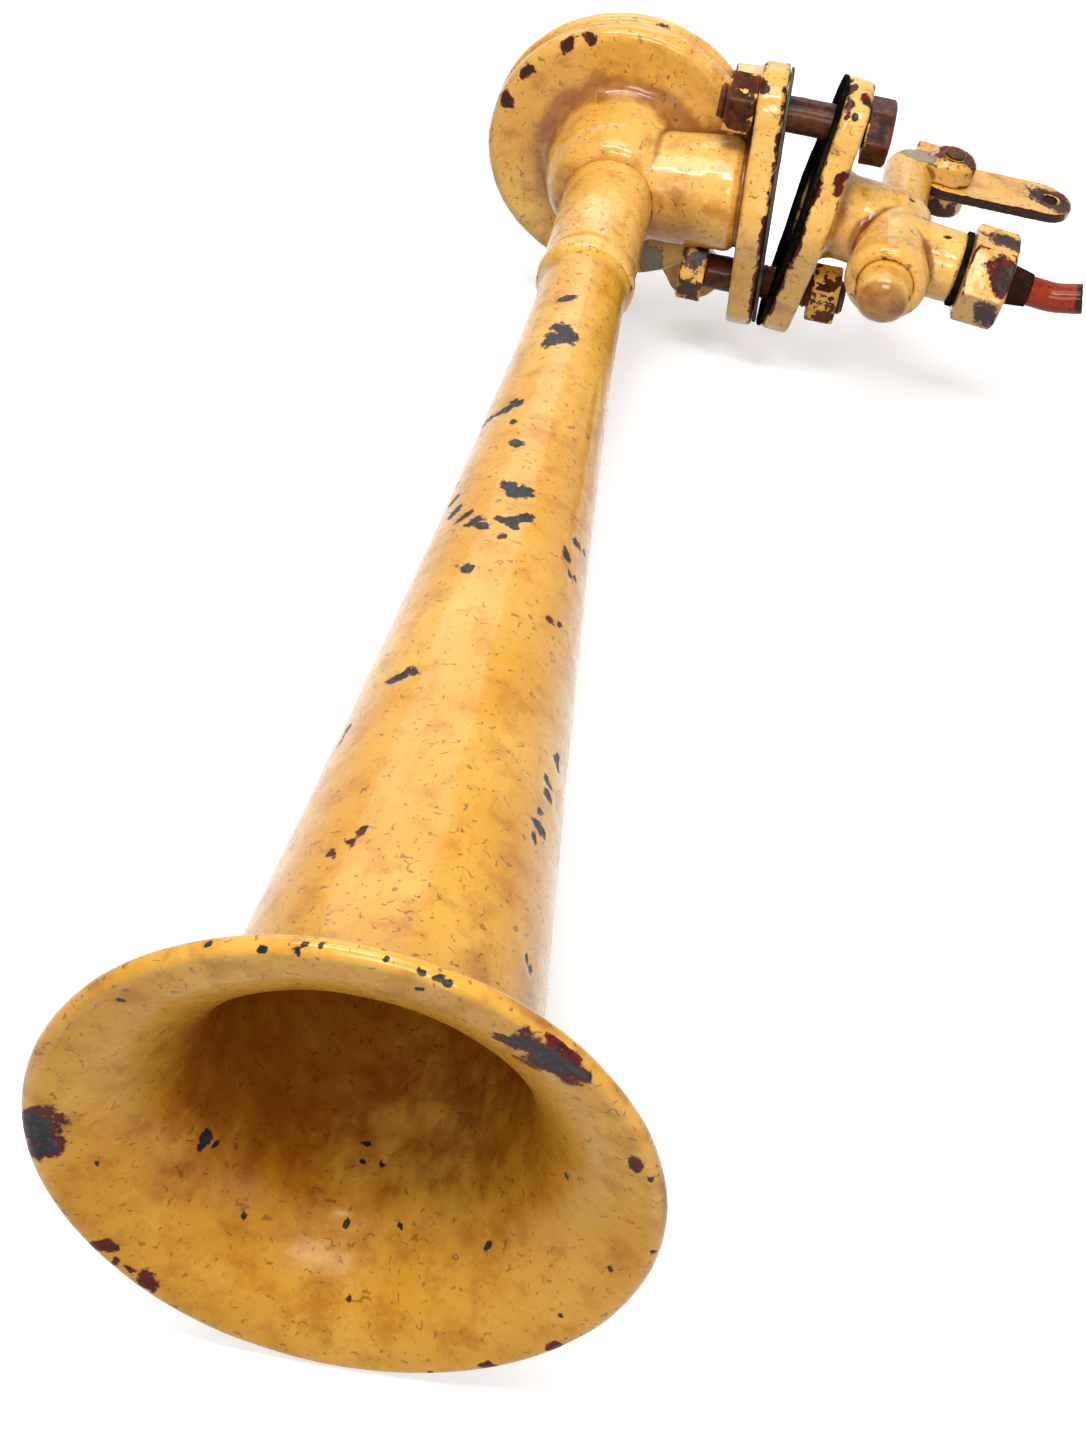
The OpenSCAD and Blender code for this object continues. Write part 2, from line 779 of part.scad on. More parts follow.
// Cast valve body: flange, waisted neck, barrel with a beaded front end, and the threaded inlet stub
module valve_body() {
    color(paint)
        difference() {
            union() {
                at_valve()
                    sideways() {
                        flange_blank(0, flange_t);
                        rotate_extrude()
                            polygon(concat(
                                [[0, flange_t - 1], [valve_neck_r1, flange_t - 1], [valve_neck_r1, flange_t + 1]],
                                arc([valve_neck_r1, flange_t + 6], valve_neck_r1 - valve_neck_r2, 5, -90, -180, 8),
                                [[valve_neck_r2, barrel_x], [0, barrel_x]]
                            ));
                    }
                at_barrel()
                    rotate_extrude()
                        polygon(concat(
                            [[0, -barrel_rear], [yoke_r, -barrel_rear]],
                            arc([yoke_r, 3 - barrel_rear], barrel_r - yoke_r, 3, -90, 0, 6),
                            [[shoulder_r - 0.9, barrel_front - 11], [shoulder_r - 1.1, barrel_front - 10.4]],
                            [[shoulder_r, barrel_front - 8.6]],
                            arc([shoulder_r - shoulder_round, barrel_front - shoulder_round],
                                shoulder_round, shoulder_round, 0, 90, 7),
                            [[0, barrel_front]]
                        ));
                at_inlet() {
                    translate([0, 0, barrel_x])
                        cylinder(r = inlet_r, h = inlet_length);
                    translate([0, 0, barrel_x])
                        cylinder(r = thread_r, h = thread_end - barrel_x);
                }
            }
            at_barrel() {
                translate([0, 0, seat_b])
                    cylinder(r = chamber_r, h = barrel_front);
                translate([0, 0, -3])
                    cylinder(r = outlet_r, h = barrel_front);
                translate([0, 0, -barrel_rear - 20])
                    cylinder(r = yoke_r + 0.3, h = 20);
                translate([0, 0, -barrel_rear - 1])
                    cylinder(r = yoke_r - 1.9, h = 4.4);
                translate([0, 0, -barrel_rear])
                    cylinder(r = stem_r + 1.4, h = barrel_front);
            }
            at_valve()
                sideways() {
                    translate([0, 0, -1])
                        cylinder(r = outlet_r, h = barrel_x + 1);
                    translate([0, 0, -1])
                        cylinder(r1 = branch_bore, r2 = outlet_r, h = flange_t + 4);
                    flange_holes(0, flange_t, 0);
                }
            at_inlet()
                translate([0, 0, barrel_x])
                    cylinder(r = inlet_bore, h = inlet_length + 20);
            hexagon_room(-bolt_spacing / 2, lower_grip, lower_tip + 1, hex_turn + 30);
        }
}

// Ring that the valve closes on
module valve_seat() {
    color(brass)
        at_barrel()
            ring(seat_outer, seat_r, seat_b + seat, seat_b + seat_t);
}

// Soft washer on the valve disc
module disc_facing() {
    color(rubber)
        at_barrel()
            ring(disc_r - 0.3, stem_r + run, facing_b, disc_b);
}

// Valve disc on the front end of the stem
module valve_disc() {
    color(brass)
        at_barrel()
            difference() {
                bevelled_bar(disc_r, disc_b, disc_b + disc_t, 0.5);
                translate([0, 0, disc_b - 1])
                    cylinder(r = stem_r + 0.02, h = disc_t + 2);
            }
}

// Stem that runs back through the bonnet to the lever's heel
module valve_stem() {
    color(steel)
        at_barrel()
            bevelled_bar(stem_r, -stem_end, disc_b + disc_t, 0.4);
}

// Return spring between the valve disc and the end cap, one wound wire
module return_spring() {
    rings = spring_coils * 12;
    sides = 6;
    rise = spring_length - spring_wire - 2 * seat;
    pitch = rise / spring_coils;
    least_gap = pitch - spring_wire;
    echo(least_spring_gap = least_gap);
    points = [for (i = [0:rings], j = [0:sides - 1])
        let (
            turn = 360 * i / 12,
            r = spring_radius + spring_wire / 2 * cos(360 * j / sides),
            z = spring_b + spring_wire / 2 + seat + rise * i / rings
        )
        [r * cos(turn), r * sin(turn), z + spring_wire / 2 * sin(360 * j / sides)]];
    walls = [for (i = [0:rings - 1], j = [0:sides - 1])
        let (a = i * sides + j, b = i * sides + (j + 1) % sides)
        each [[a, a + sides, b], [b, a + sides, b + sides]]];
    first = [for (j = [1:sides - 2]) [0, j, j + 1]];
    last = [for (j = [1:sides - 2]) let (e = rings * sides) [e, e + j + 1, e + j]];
    color(steel)
        at_barrel()
            polyhedron(points = points, faces = concat(walls, first, last));
}

// Domed plug that closes the barrel's front end and holds the spring
module end_cap() {
    dome = 5;
    color(paint)
        at_barrel()
            difference() {
                union() {
                    rotate_extrude()
                        polygon(concat(
                            [[0, barrel_front + seat], [cap_r, barrel_front + seat]],
                            arc([0, barrel_front + cap_length - dome], cap_r, dome, 0, 90, 12)
                        ));
                    translate([0, 0, barrel_front - 6])
                        cylinder(r = chamber_r - run, h = 7);
                }
                translate([0, 0, barrel_front - 7])
                    cylinder(r = spring_radius + spring_wire + 0.6, h = cap_seat_b - barrel_front + 7);
            }
}

// Bonnet post that guides the stem, with a slotted eye that carries the lever pin
module bonnet_yoke() {
    color(paint)
        at_works()
            difference() {
                union() {
                    translate([barrel_x, 0, 0])
                        rotate([-90, 0, 0])
                            rotate_extrude()
                                polygon(concat(
                                    [[0, barrel_rear - 3.2], [yoke_r - 1.9 - run, barrel_rear - 3.2]],
                                    [[yoke_r - 1.9 - run, barrel_rear + seat], [yoke_r - 0.3, barrel_rear + seat]],
                                    [[yoke_r, barrel_rear + 1]],
                                    arc([yoke_r - yoke_round, yoke_rear - yoke_round], yoke_round, yoke_round, 0, 90, 8),
                                    [[0, yoke_rear]]
                                ));
                    translate([barrel_x + pin_x, pin_y, 0])
                        bevelled_bar(eye_r, -eye_half, eye_half, 1.6);
                    translate([barrel_x, pin_y - eye_r + 0.3, -eye_half + 1.9])
                        cube([pin_x, 2 * eye_r - 0.6, 2 * eye_half - 3.8]);
                }
                translate([barrel_x - heel_w / 2 - 1.4, slot_front, -slot_half])
                    cube([pin_x + 30, 40, 2 * slot_half]);
                translate([barrel_x, 0, 0])
                    rotate([-90, 0, 0]) {
                        cylinder(r = stem_r + run, h = pin_y);
                        translate([0, 0, barrel_rear - 4])
                            cylinder(r = stem_r + 2.6, h = 6);
                    }
                translate([barrel_x + pin_x, pin_y, -eye_half - 1])
                    cylinder(r = pin_r + 0.02, h = 2 * eye_half + 2);
            }
}

// Packing ring round the stem, inside the bonnet
module stem_packing() {
    color(rubber)
        at_barrel()
            ring(stem_r + 2.55, stem_r + run, -barrel_rear - 1.95, -barrel_rear + 3);
}

// Flat hand lever with a lanyard eye and a rounded heel that presses the stem
module lever() {
    half = lever_w / 2;
    color(paint)
        at_pin()
            rotate([0, 0, lever_rest])
                translate([0, 0, -lever_t / 2])
                    difference() {
                        union() {
                            cylinder(r = half, h = lever_t);
                            translate([0, -half, 0])
                                cube([lever_reach - half, lever_w, lever_t]);
                            translate([lever_reach - half, 0, 0])
                                cylinder(r = half, h = lever_t);
                            translate([-pin_x, -heel_w / 2, 0])
                                cube([pin_x, heel_w, lever_t]);
                            translate([-pin_x, 0, 0])
                                cylinder(r = heel_w / 2, h = lever_t);
                        }
                        translate([0, 0, -1])
                            cylinder(r = pin_r + run, h = lever_t + 2);
                        translate([lever_reach - half + 3, 0, -1])
                            cylinder(r = lever_eye_r, h = lever_t + 2);
                    }
}

// Pin through the yoke's eye, with a low head on top and a riveted end below
module lever_pin() {
    color(rust)
        at_pin() {
            bevelled_bar(pin_r, -eye_half - 1, eye_half + 1, 0.4);
            bevelled_bar(pin_r + 1, eye_half + seat, eye_half + 1.4, 0.5);
            bevelled_bar(pin_r + 0.8, -eye_half - 1.4, -eye_half - seat, 0.5);
        }
}

// Soft washer between the inlet stub and the union nut
module union_washer() {
    color(rubber)
        at_inlet()
            ring(inlet_r + 0.8, thread_r + run, inlet_face + seat, nut_x - seat);
}

// Union nut that turns on the inlet's thread and holds the nipple's collar
module union_nut() {
    color(paint)
        at_inlet()
            difference() {
                hexagon(nut_flats, nut_x, nut_end, true);
                translate([0, 0, nut_x - 1])
                    cylinder(r = thread_r + run, h = thread_length + nipple_collar_t + air + 1);
                translate([0, 0, nut_x - 1])
                    cylinder(r = nipple_r + air, h = nut_length + 2);
            }
}

// Collared nipple that tapers down to the supply tube
module tube_nipple() {
    color(rubber)
        at_inlet()
            difference() {
                rotate_extrude()
                    polygon([
                        [0, nipple_x], [thread_r - air, nipple_x], [thread_r - air, nipple_x + nipple_collar_t],
                        [nipple_r, nipple_x + nipple_collar_t], [nipple_r, nut_end + 1],
                        [tube_r + 0.7, nipple_end], [0, nipple_end]
                    ]);
                translate([0, 0, nipple_x - 1])
                    cylinder(r = tube_r - tube_wall, h = nipple_end);
                translate([0, 0, nipple_x + 4])
                    cylinder(r = tube_r + 0.02, h = nipple_end);
            }
}

// The run of the supply tube as a solid bar: straight, a bend drawn a hair thinner, straight
module tube_run(r, start, tail) {
    lap = 0.6;
    translate([0, 0, start])
        cylinder(r = r, h = bend_x - start);
    translate([-bend_radius, 0, bend_x]) {
        rotate([90, 0, 0])
            rotate([0, 0, -lap])
                rotate_extrude(angle = bend_angle + 2 * lap)
                    translate([bend_radius, 0])
                        circle(r = r - 0.03);
        rotate([0, -bend_angle, 0])
            translate([bend_radius, 0, 0])
                cylinder(r = r, h = tube_end + tail);
    }
}

// Short bent supply tube, open at its end
module supply_tube() {
    color(copper)
        at_inlet()
            difference() {
                tube_run(tube_r, nipple_x + 4.05, 0);
                tube_run(tube_r - tube_wall, nipple_x + 3, 1);
            }
}

bell();
neck_tube();
throat_nozzle();
head_casting();
front_gasket();
diaphragm();
rear_gasket();
rear_cover();
cover_screws();
horn_gasket();
valve_gasket();
upper_bolt();
upper_nut();
lower_bolt();
lower_nut();
valve_body();
valve_seat();
disc_facing();
valve_disc();
valve_stem();
return_spring();
end_cap();
bonnet_yoke();
stem_packing();
lever();
lever_pin();
union_washer();
union_nut();
tube_nipple();
supply_tube();
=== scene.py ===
"""Looks of the ship's fog horn: worn ochre paint on castings, rusty bolts, gaskets and a copper tube.

The bell is turned from its own profile. The other CAD nodes that show well, and the return spring, are drawn
again as even skins with rounded edges. A skin carries its wear, and some painted shade, as attributes, which the
materials read:

    edge, crevice   how sharply the skin bends outwards and inwards
    chip, primer    paint lost down to the bare metal and down to the red primer
    pale            bare metal that is pale instead of dark
    dirt_and_shade  brown dirt over the paint, and painted shade in hollows, deep in the bell and on faces turned
    from the light
    clean           less gloss and fewer flecks, inside the bell
    coat            where rusty steel may still hold paint
"""

import itertools
import json
import math

import bmesh
import bpy
import numpy as np
from mathutils import Euler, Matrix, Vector
from mathutils.bvhtree import BVHTree


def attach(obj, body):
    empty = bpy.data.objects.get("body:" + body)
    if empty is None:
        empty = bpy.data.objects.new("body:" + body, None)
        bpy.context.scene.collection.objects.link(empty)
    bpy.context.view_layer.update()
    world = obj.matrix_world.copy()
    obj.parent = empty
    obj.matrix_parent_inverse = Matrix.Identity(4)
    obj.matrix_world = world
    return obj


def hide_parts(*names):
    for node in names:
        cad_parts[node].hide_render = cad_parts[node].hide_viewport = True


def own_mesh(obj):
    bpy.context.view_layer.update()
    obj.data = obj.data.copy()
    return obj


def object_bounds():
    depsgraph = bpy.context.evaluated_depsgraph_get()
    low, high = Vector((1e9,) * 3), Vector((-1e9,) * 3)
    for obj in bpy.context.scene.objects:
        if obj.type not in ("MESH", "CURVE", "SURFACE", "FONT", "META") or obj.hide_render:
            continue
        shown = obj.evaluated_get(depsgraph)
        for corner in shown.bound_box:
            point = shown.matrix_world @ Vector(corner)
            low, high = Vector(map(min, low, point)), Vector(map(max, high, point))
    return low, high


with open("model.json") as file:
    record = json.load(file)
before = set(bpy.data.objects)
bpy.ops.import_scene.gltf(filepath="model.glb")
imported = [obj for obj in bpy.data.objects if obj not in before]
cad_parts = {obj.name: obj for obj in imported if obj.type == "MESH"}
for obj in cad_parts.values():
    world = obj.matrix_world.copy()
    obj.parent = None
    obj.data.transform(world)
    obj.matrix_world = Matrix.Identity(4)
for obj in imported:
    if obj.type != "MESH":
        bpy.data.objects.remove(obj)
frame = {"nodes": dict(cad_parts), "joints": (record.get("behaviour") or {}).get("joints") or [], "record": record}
cad_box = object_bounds()

MM = 0.001
bodies = frame["record"]["behaviour"]["bodies"]
BODY_OF = {node: body for body, nodes in bodies.items() for node in nodes}
JOINTS = {joint["name"]: joint for joint in frame["joints"]}
MOUNTS = {mount["name"]: mount for mount in frame["record"]["mounts"]}


# Camera, light and floor

IMAGE_W, IMAGE_H = 1086, 1448
FOCAL_PX = 2388.0
CENTRE_PX = (500.0, 683.0)
CAMERA_AT = (0.06934, -0.76493, 0.39141)
CAMERA_TURN = (49.8196, -2.0725, 9.5731)
# Each lamp's place, target and size in metres, power in watts and spread in degrees
LAMPS = {
    "key": ((-0.06, -0.38, 1.3), (0.02, -0.2, 0.0), (0.8, 0.7), 10.5, 180),
    "strip": ((-0.16, -0.6, 1.05), (0.04, -0.06, 0.0), (0.6, 0.08), 4.2, 180),
    "front": ((0.1, -1.15, 0.62), (0.02, -0.3, 0.0), (0.4, 0.3), 4.6, 180),
    "back": ((-0.3, 0.9, 0.85), (0.0, -0.2, 0.0), (1.2, 0.7), 5.0, 180),
    "works": ((0.2, -0.42, 0.62), (0.075, -0.03, 0.01), (0.16, 0.16), 0.17, 70),
    "side": ((1.1, -0.9, 0.6), (0.05, -0.1, 0.0), (0.6, 0.9), 2.0, 180),
}
WORLD_LEVEL = 0.12
FLOOR_SIZE = 12.0
FLOOR_BOUNCE = (0.3, 0.3, 0.3)
FLOOR_TONES = (0.93, 0.93, 0.93), (0.95, 0.95, 0.95)
FLOOR_CLOUD_MM = 400
# Distances at which the floor begins to brighten and is white, and its glow at both
FLOOR_GLOW = (0.5, 2.0, 0.36, 0.92)
WHITE = (1.0, 1.0, 1.0)


def camera_turn():
    return Euler([math.radians(a) for a in CAMERA_TURN])


def pixel_ray(column, row):
    """The direction from the camera through a pixel of the photograph."""
    across, up = column - CENTRE_PX[0], CENTRE_PX[1] - row
    return (camera_turn().to_matrix() @ Vector((across, up, -FOCAL_PX))).normalized()


def make_camera():
    data = bpy.data.cameras.new("camera")
    data.lens = FOCAL_PX / IMAGE_H * data.sensor_width
    data.shift_x = (IMAGE_W / 2 - CENTRE_PX[0]) / IMAGE_H
    data.shift_y = (CENTRE_PX[1] - IMAGE_H / 2) / IMAGE_H
    data.clip_start = 0.01
    camera = bpy.data.objects.new("camera", data)
    camera.location = CAMERA_AT
    camera.rotation_euler = camera_turn()
    bpy.context.scene.collection.objects.link(camera)
    bpy.context.scene.camera = camera


def area_light(name, place, target, size, power, spread):
    data = bpy.data.lights.new(name, "AREA")
    data.shape = "RECTANGLE"
    data.size, data.size_y = size
    data.energy = power
    data.spread = math.radians(spread)
    light = bpy.data.objects.new(name, data)
    light.location = place
    light.rotation_euler = (Vector(target) - Vector(place)).to_track_quat("-Z", "Y").to_euler()
    bpy.context.scene.collection.objects.link(light)


def make_world():
    """Plain light from all round, which the camera and reflections see as white."""
    world = bpy.data.worlds.new("world")
    world.use_nodes = True
    bpy.context.scene.world = world
    tree = world.node_tree
    back = tree.nodes["Background"]
    back.inputs["Color"].default_value = (*WHITE, 1.0)
    path = tree.nodes.new("ShaderNodeLightPath")
    seen = tree.nodes.new("ShaderNodeMath")
    seen.operation = "MAXIMUM"
    tree.links.new(path.outputs["Is Camera Ray"], seen.inputs[0])
    shiny = tree.nodes.new("ShaderNodeMath")
    shiny.operation = "MAXIMUM"
    tree.links.new(path.outputs["Is Glossy Ray"], shiny.inputs[0])
    tree.links.new(path.outputs["Is Transmission Ray"], shiny.inputs[1])
    tree.links.new(shiny.outputs[0], seen.inputs[1])
    level = tree.nodes.new("ShaderNodeMapRange")
    level.inputs["To Min"].default_value = WORLD_LEVEL
    level.inputs["To Max"].default_value = 1.0
    tree.links.new(seen.outputs[0], level.inputs["Value"])
    tree.links.new(level.outputs[0], back.inputs["Strength"])


class Nodes:
    """A material's node tree, written as plain expressions."""

    def __init__(self, name):
        self.material = bpy.data.materials.new(name)
        self.material.use_nodes = True
        self.tree = self.material.node_tree
        self.tree.nodes.clear()
        self.shader = self.add("ShaderNodeBsdfPrincipled")
        output = self.add("ShaderNodeOutputMaterial")
        self.tree.links.new(self.shader.outputs[0], output.inputs[0])
        self.place = self.add("ShaderNodeTexCoord").outputs["Object"]

    def add(self, kind):
        return self.tree.nodes.new(kind)

    def put(self, socket, value):
        if isinstance(value, bpy.types.NodeSocket):
            self.tree.links.new(value, socket)
        elif isinstance(value, tuple) and len(value) == 3 and len(socket.default_value) == 4:
            socket.default_value = (*value, 1.0)
        else:
            socket.default_value = value

    def set(self, name, value):
        self.put(self.shader.inputs[name], value)

    def math(self, operation, a, b=0.0, clamp=False):
        node = self.add("ShaderNodeMath")
        node.operation = operation
        node.use_clamp = clamp
        self.put(node.inputs[0], a)
        self.put(node.inputs[1], b)
        return node.outputs[0]

    def attribute(self, name):
        node = self.add("ShaderNodeAttribute")
        node.attribute_name = name
        return node.outputs["Fac"]

    def noise(self, size_mm, detail=2.0, rough=0.5, stretch=(1, 1, 1), warp=0.0, shift=0.0):
        """Noise from 0 to 1 with lumps about size_mm across, drawn out by stretch along each axis."""
        at = self.add("ShaderNodeMapping")
        at.inputs["Location"].default_value = (shift, shift * 0.7, shift * 1.3)
        at.inputs["Scale"].default_value = [1 / (size_mm * MM * s) for s in stretch]
        self.put(at.inputs["Vector"], self.place)
        node = self.add("ShaderNodeTexNoise")
        node.inputs["Scale"].default_value = 1.0
        node.inputs["Detail"].default_value = detail
        node.inputs["Roughness"].default_value = rough
        node.inputs["Distortion"].default_value = warp
        self.put(node.inputs["Vector"], at.outputs[0])
        return node.outputs[0]

    def step(self, value, low, high):
        """0 below low, 1 above high, smooth between."""
        node = self.add("ShaderNodeMapRange")
        node.interpolation_type = "SMOOTHSTEP"
        self.put(node.inputs["Value"], value)
        node.inputs["From Min"].default_value = low
        node.inputs["From Max"].default_value = high
        return node.outputs[0]

    def partly(self, value, low, high, share):
        """0 below low, share above high, smooth between."""
        return self.math("MULTIPLY", self.step(value, low, high), share)

    def weighted(self, *terms):
        """The sum of each value times its weight."""
        total = self.math("MULTIPLY", *terms[0])
        for value, weight in terms[1:]:
            total = self.math("ADD", total, self.math("MULTIPLY", value, weight))
        return total

    def inverse(self, value):
        return self.math("SUBTRACT", 1.0, value)

    def mix(self, share, a, b):
        """A colour between a and b."""
        node = self.add("ShaderNodeMix")
        node.data_type = "RGBA"
        self.put(node.inputs[0], share)
        self.put(node.inputs[6], a)
        self.put(node.inputs[7], b)
        return node.outputs[2]

    def blend(self, share, a, b):
        """A number between a and b."""
        node = self.add("ShaderNodeMix")
        self.put(node.inputs[0], share)
        self.put(node.inputs[2], a)
        self.put(node.inputs[3], b)
        return node.outputs[0]

    def bump(self, height, depth_mm):
        node = self.add("ShaderNodeBump")
        node.inputs["Strength"].default_value = 1.0
        node.inputs["Distance"].default_value = depth_mm * MM
        self.put(node.inputs["Height"], height)
        return node.outputs[0]

    def dashes(self, size_mm, width, share, shift):
        """Short thin curved marks: pieces of a noise's middle contour."""
        line = self.math("ABSOLUTE", self.math("SUBTRACT", self.noise(size_mm, 1.0, shift=shift), 0.5))
        thin = self.inverse(self.step(line, width * 0.4, width))
        kept = self.step(self.noise(size_mm * 0.55, 0.0, shift=shift + 9.0), share, share + 0.06)
        return self.math("MULTIPLY", thin, kept)


def srgb(r, g, b):
    """Linear colour of an 8-bit sRGB value."""
    return tuple(((c / 255 + 0.055) / 1.055) ** 2.4 if c > 10 else c / 3294.6 for c in (r, g, b))


# Colours

OCHRE = srgb(213, 150, 36)
OCHRE_PALE = srgb(228, 172, 70)
OCHRE_THICK = srgb(224, 165, 62)
OCHRE_CREAM = srgb(237, 187, 100)
OCHRE_DEEP = srgb(184, 116, 20)
GRIME_AND_SHADE = srgb(80, 42, 12)
BROWN_DIRT_AND_SHADE = srgb(128, 57, 4)
FLECK = srgb(76, 37, 8)
BARE_METAL = srgb(26, 29, 36)
BARE_BROWN = srgb(38, 24, 18)
BARE_GREY = srgb(60, 62, 68)
BARE_MAROON = srgb(70, 30, 20)
BARE_PALE = srgb(150, 138, 122)
PRIMER = srgb(92, 14, 6)
PAINT_RIM = srgb(84, 42, 12)
RUST_DARK = srgb(30, 14, 6)
RUST_WARM = srgb(94, 45, 12)
RUST_RED = srgb(68, 15, 6)
RUST_SHADE = srgb(34, 20, 15)
RUST_EDGE_WEAR_AND_HIGHLIGHT = srgb(120, 74, 44)
BLACK = srgb(13, 12, 11)
DUST = srgb(78, 68, 52)
DUST_WARM = srgb(104, 84, 56)
GASKET_GREY = srgb(86, 88, 78)
GASKET_DARK = srgb(52, 50, 44)
NIPPLE = srgb(38, 26, 20)
NIPPLE_WARM = srgb(72, 40, 26)
COPPER = srgb(152, 45, 6)
COPPER_DULL = srgb(116, 36, 14)
COPPER_DARK = srgb(42, 14, 7)
COPPER_PALE = srgb(178, 72, 20)
BRASS = srgb(176, 138, 74)
BRASS_DARK = srgb(104, 78, 38)
STEEL = srgb(140, 140, 142)
STEEL_DARK = srgb(88, 84, 80)


# Coat weights of the painted bell, of the painted castings and of places that have lost their paint
BELL_GLOSS, CAST_GLOSS, BARE_GLOSS = 0.42, 0.62, 0.12
# Share of the flecks that a clean surface loses
CLEAN_LOSES = 0.2
# Wear values between which paint gives way to its dark rim, to primer and to bare metal
RIM_AT, LOST_AT, BARE_AT = (0.36, 0.48), (0.47, 0.51), (0.47, 0.52)
# Wear that a rubbed edge adds to primer and to chip
RUBBED_RED, RUBBED_BARE = 0.72, 0.5
# How far noise moves the edges of worn places
RAGGED = 1.2
# Paint that rusty steel keeps: its threshold at none, how much a full share lowers that, and its soft edge
KEPT_AT, KEPT_RANGE, KEPT_EDGE = 0.70, 0.45, 0.025


def paint_flecks(n):
    """Dark dashes and specks."""
    dash = n.math("MAXIMUM", n.dashes(4.4, 0.032, 0.63, 13.0), n.dashes(2.5, 0.045, 0.69, 17.0))
    speck = n.step(n.noise(1.3, 1.0, shift=19.0), 0.79, 0.83)
    flecks = n.math("MAXIMUM", n.math("MULTIPLY", dash, 0.6), n.math("MULTIPLY", speck, 0.65))
    return n.math("MULTIPLY", flecks, n.inverse(n.math("MULTIPLY", n.attribute("clean"), CLEAN_LOSES)))


def paint_loss(n):
    """Shares of lost paint, of bare metal and of the paint's dark rim, with ragged edges."""
    coarse = n.noise(3.2, 3.0, 0.6, shift=23.0)
    fine = n.noise(1.2, 2.0, 0.6, shift=29.0)
    ragged = n.weighted((coarse, 0.55), (fine, 0.45))
    ragged = n.math("MULTIPLY", n.math("SUBTRACT", ragged, 0.5), RAGGED)
    rubbed = n.math("MULTIPLY", n.attribute("edge"), n.step(n.noise(11, 3.0, 0.6, shift=31.0), 0.44, 0.66))
    red = n.math("MAXIMUM", n.attribute("primer"), n.math("MULTIPLY", rubbed, RUBBED_RED))
    chip = n.math("MAXIMUM", n.attribute("chip"), n.math("MULTIPLY", rubbed, RUBBED_BARE))
    # Red primer shows all round a chip
    red = n.math("MAXIMUM", red, n.math("ADD", chip, 0.02))
    red = n.math("ADD", red, ragged)
    lost = n.step(red, *LOST_AT)
    bare = n.step(n.math("ADD", chip, ragged), *BARE_AT)
    rim = n.math("SUBTRACT", n.step(red, *RIM_AT), lost, True)
    return lost, bare, rim


def paint_layers(n, paint, pale_paint, metal_dark, metal_light):
    """Colour, roughness, relief and lost share of old paint from paint to pale_paint over a metal."""
    tone = n.noise(46, 3.0, 0.55)
    streak = n.noise(2.2, 2.0, 0.6, stretch=(1, 9, 1), shift=3.0)
    grain = n.noise(0.7, 2.0, 0.6, shift=5.0)
    blotch = n.noise(9, 4.0, 0.62, shift=7.0)
    colour = n.mix(n.step(tone, 0.34, 0.68), paint, pale_paint)
    colour = n.mix(n.partly(blotch, 0.46, 0.72, 0.7), colour, OCHRE_DEEP)
    colour = n.mix(n.partly(streak, 0.5, 0.8, 0.3), colour, OCHRE_DEEP)
    colour = n.mix(n.partly(grain, 0.58, 0.8, 0.22), colour, GRIME_AND_SHADE)

    # Brown dirt over the paint, with painted shade in hollows, deep in the bell, on the head's face and on the end
    # cap
    dirt_and_shade = n.math("ADD", n.attribute("dirt_and_shade"), n.math("MULTIPLY", n.math("SUBTRACT", blotch, 0.5), 0.85))
    colour = n.mix(n.partly(dirt_and_shade, 0.05, 1.15, 0.86), colour, BROWN_DIRT_AND_SHADE)
    # Grime in creases together with painted shade: darker where the skin bends inwards
    crevice_grime_and_shade = n.math("MULTIPLY", n.attribute("crevice"), n.step(n.noise(4, 3.0, shift=11.0), 0.25, 0.62))
    colour = n.mix(n.math("MULTIPLY", crevice_grime_and_shade, 0.75, True), colour, GRIME_AND_SHADE)
    flecks = paint_flecks(n)
    colour = n.mix(flecks, colour, FLECK)

    lost, bare, rim = paint_loss(n)
    colour = n.mix(n.math("MULTIPLY", rim, 0.75), colour, PAINT_RIM)
    red = n.mix(n.step(n.noise(2.4, 3.0, shift=37.0), 0.42, 0.7), PRIMER, RUST_DARK)
    colour = n.mix(lost, colour, red)
    scratch = n.noise(1.1, 3.0, 0.7, stretch=(1, 3, 1), shift=41.0)
    metal = n.mix(n.step(scratch, 0.42, 0.75), metal_dark, metal_light)
    metal = n.mix(n.partly(n.noise(3, 2.0, shift=43.0), 0.5, 0.7, 0.5), metal, BARE_BROWN)
    metal = n.mix(n.attribute("pale"), metal, BARE_PALE)
    colour = n.mix(bare, colour, metal)

    rough = n.blend(lost, n.blend(n.step(blotch, 0.3, 0.8), 0.24, 0.4), 0.46)
    height = n.weighted((n.noise(6.5, 2.0, shift=47.0), 0.55), (n.noise(2.6, 3.0, 0.55, shift=49.0), 0.34),
                        (streak, 0.16), (grain, 0.08), (flecks, -0.18), (lost, -0.42), (bare, -0.24))
    return colour, rough, height, lost


def paint_material(name, gloss, *colours):
    n = Nodes(name)
    colour, rough, height, lost = paint_layers(n, *colours)
    n.set("Base Color", colour)
    n.set("Roughness", rough)
    n.set("Normal", n.bump(height, depth_mm=0.42))
    n.set("Specular IOR Level", 0.12)
    coat = n.blend(lost, gloss, BARE_GLOSS)
    n.set("Coat Weight", n.math("MULTIPLY", coat, n.inverse(n.attribute("clean"))))
    n.set("Coat Roughness", 0.1)
    return n.material


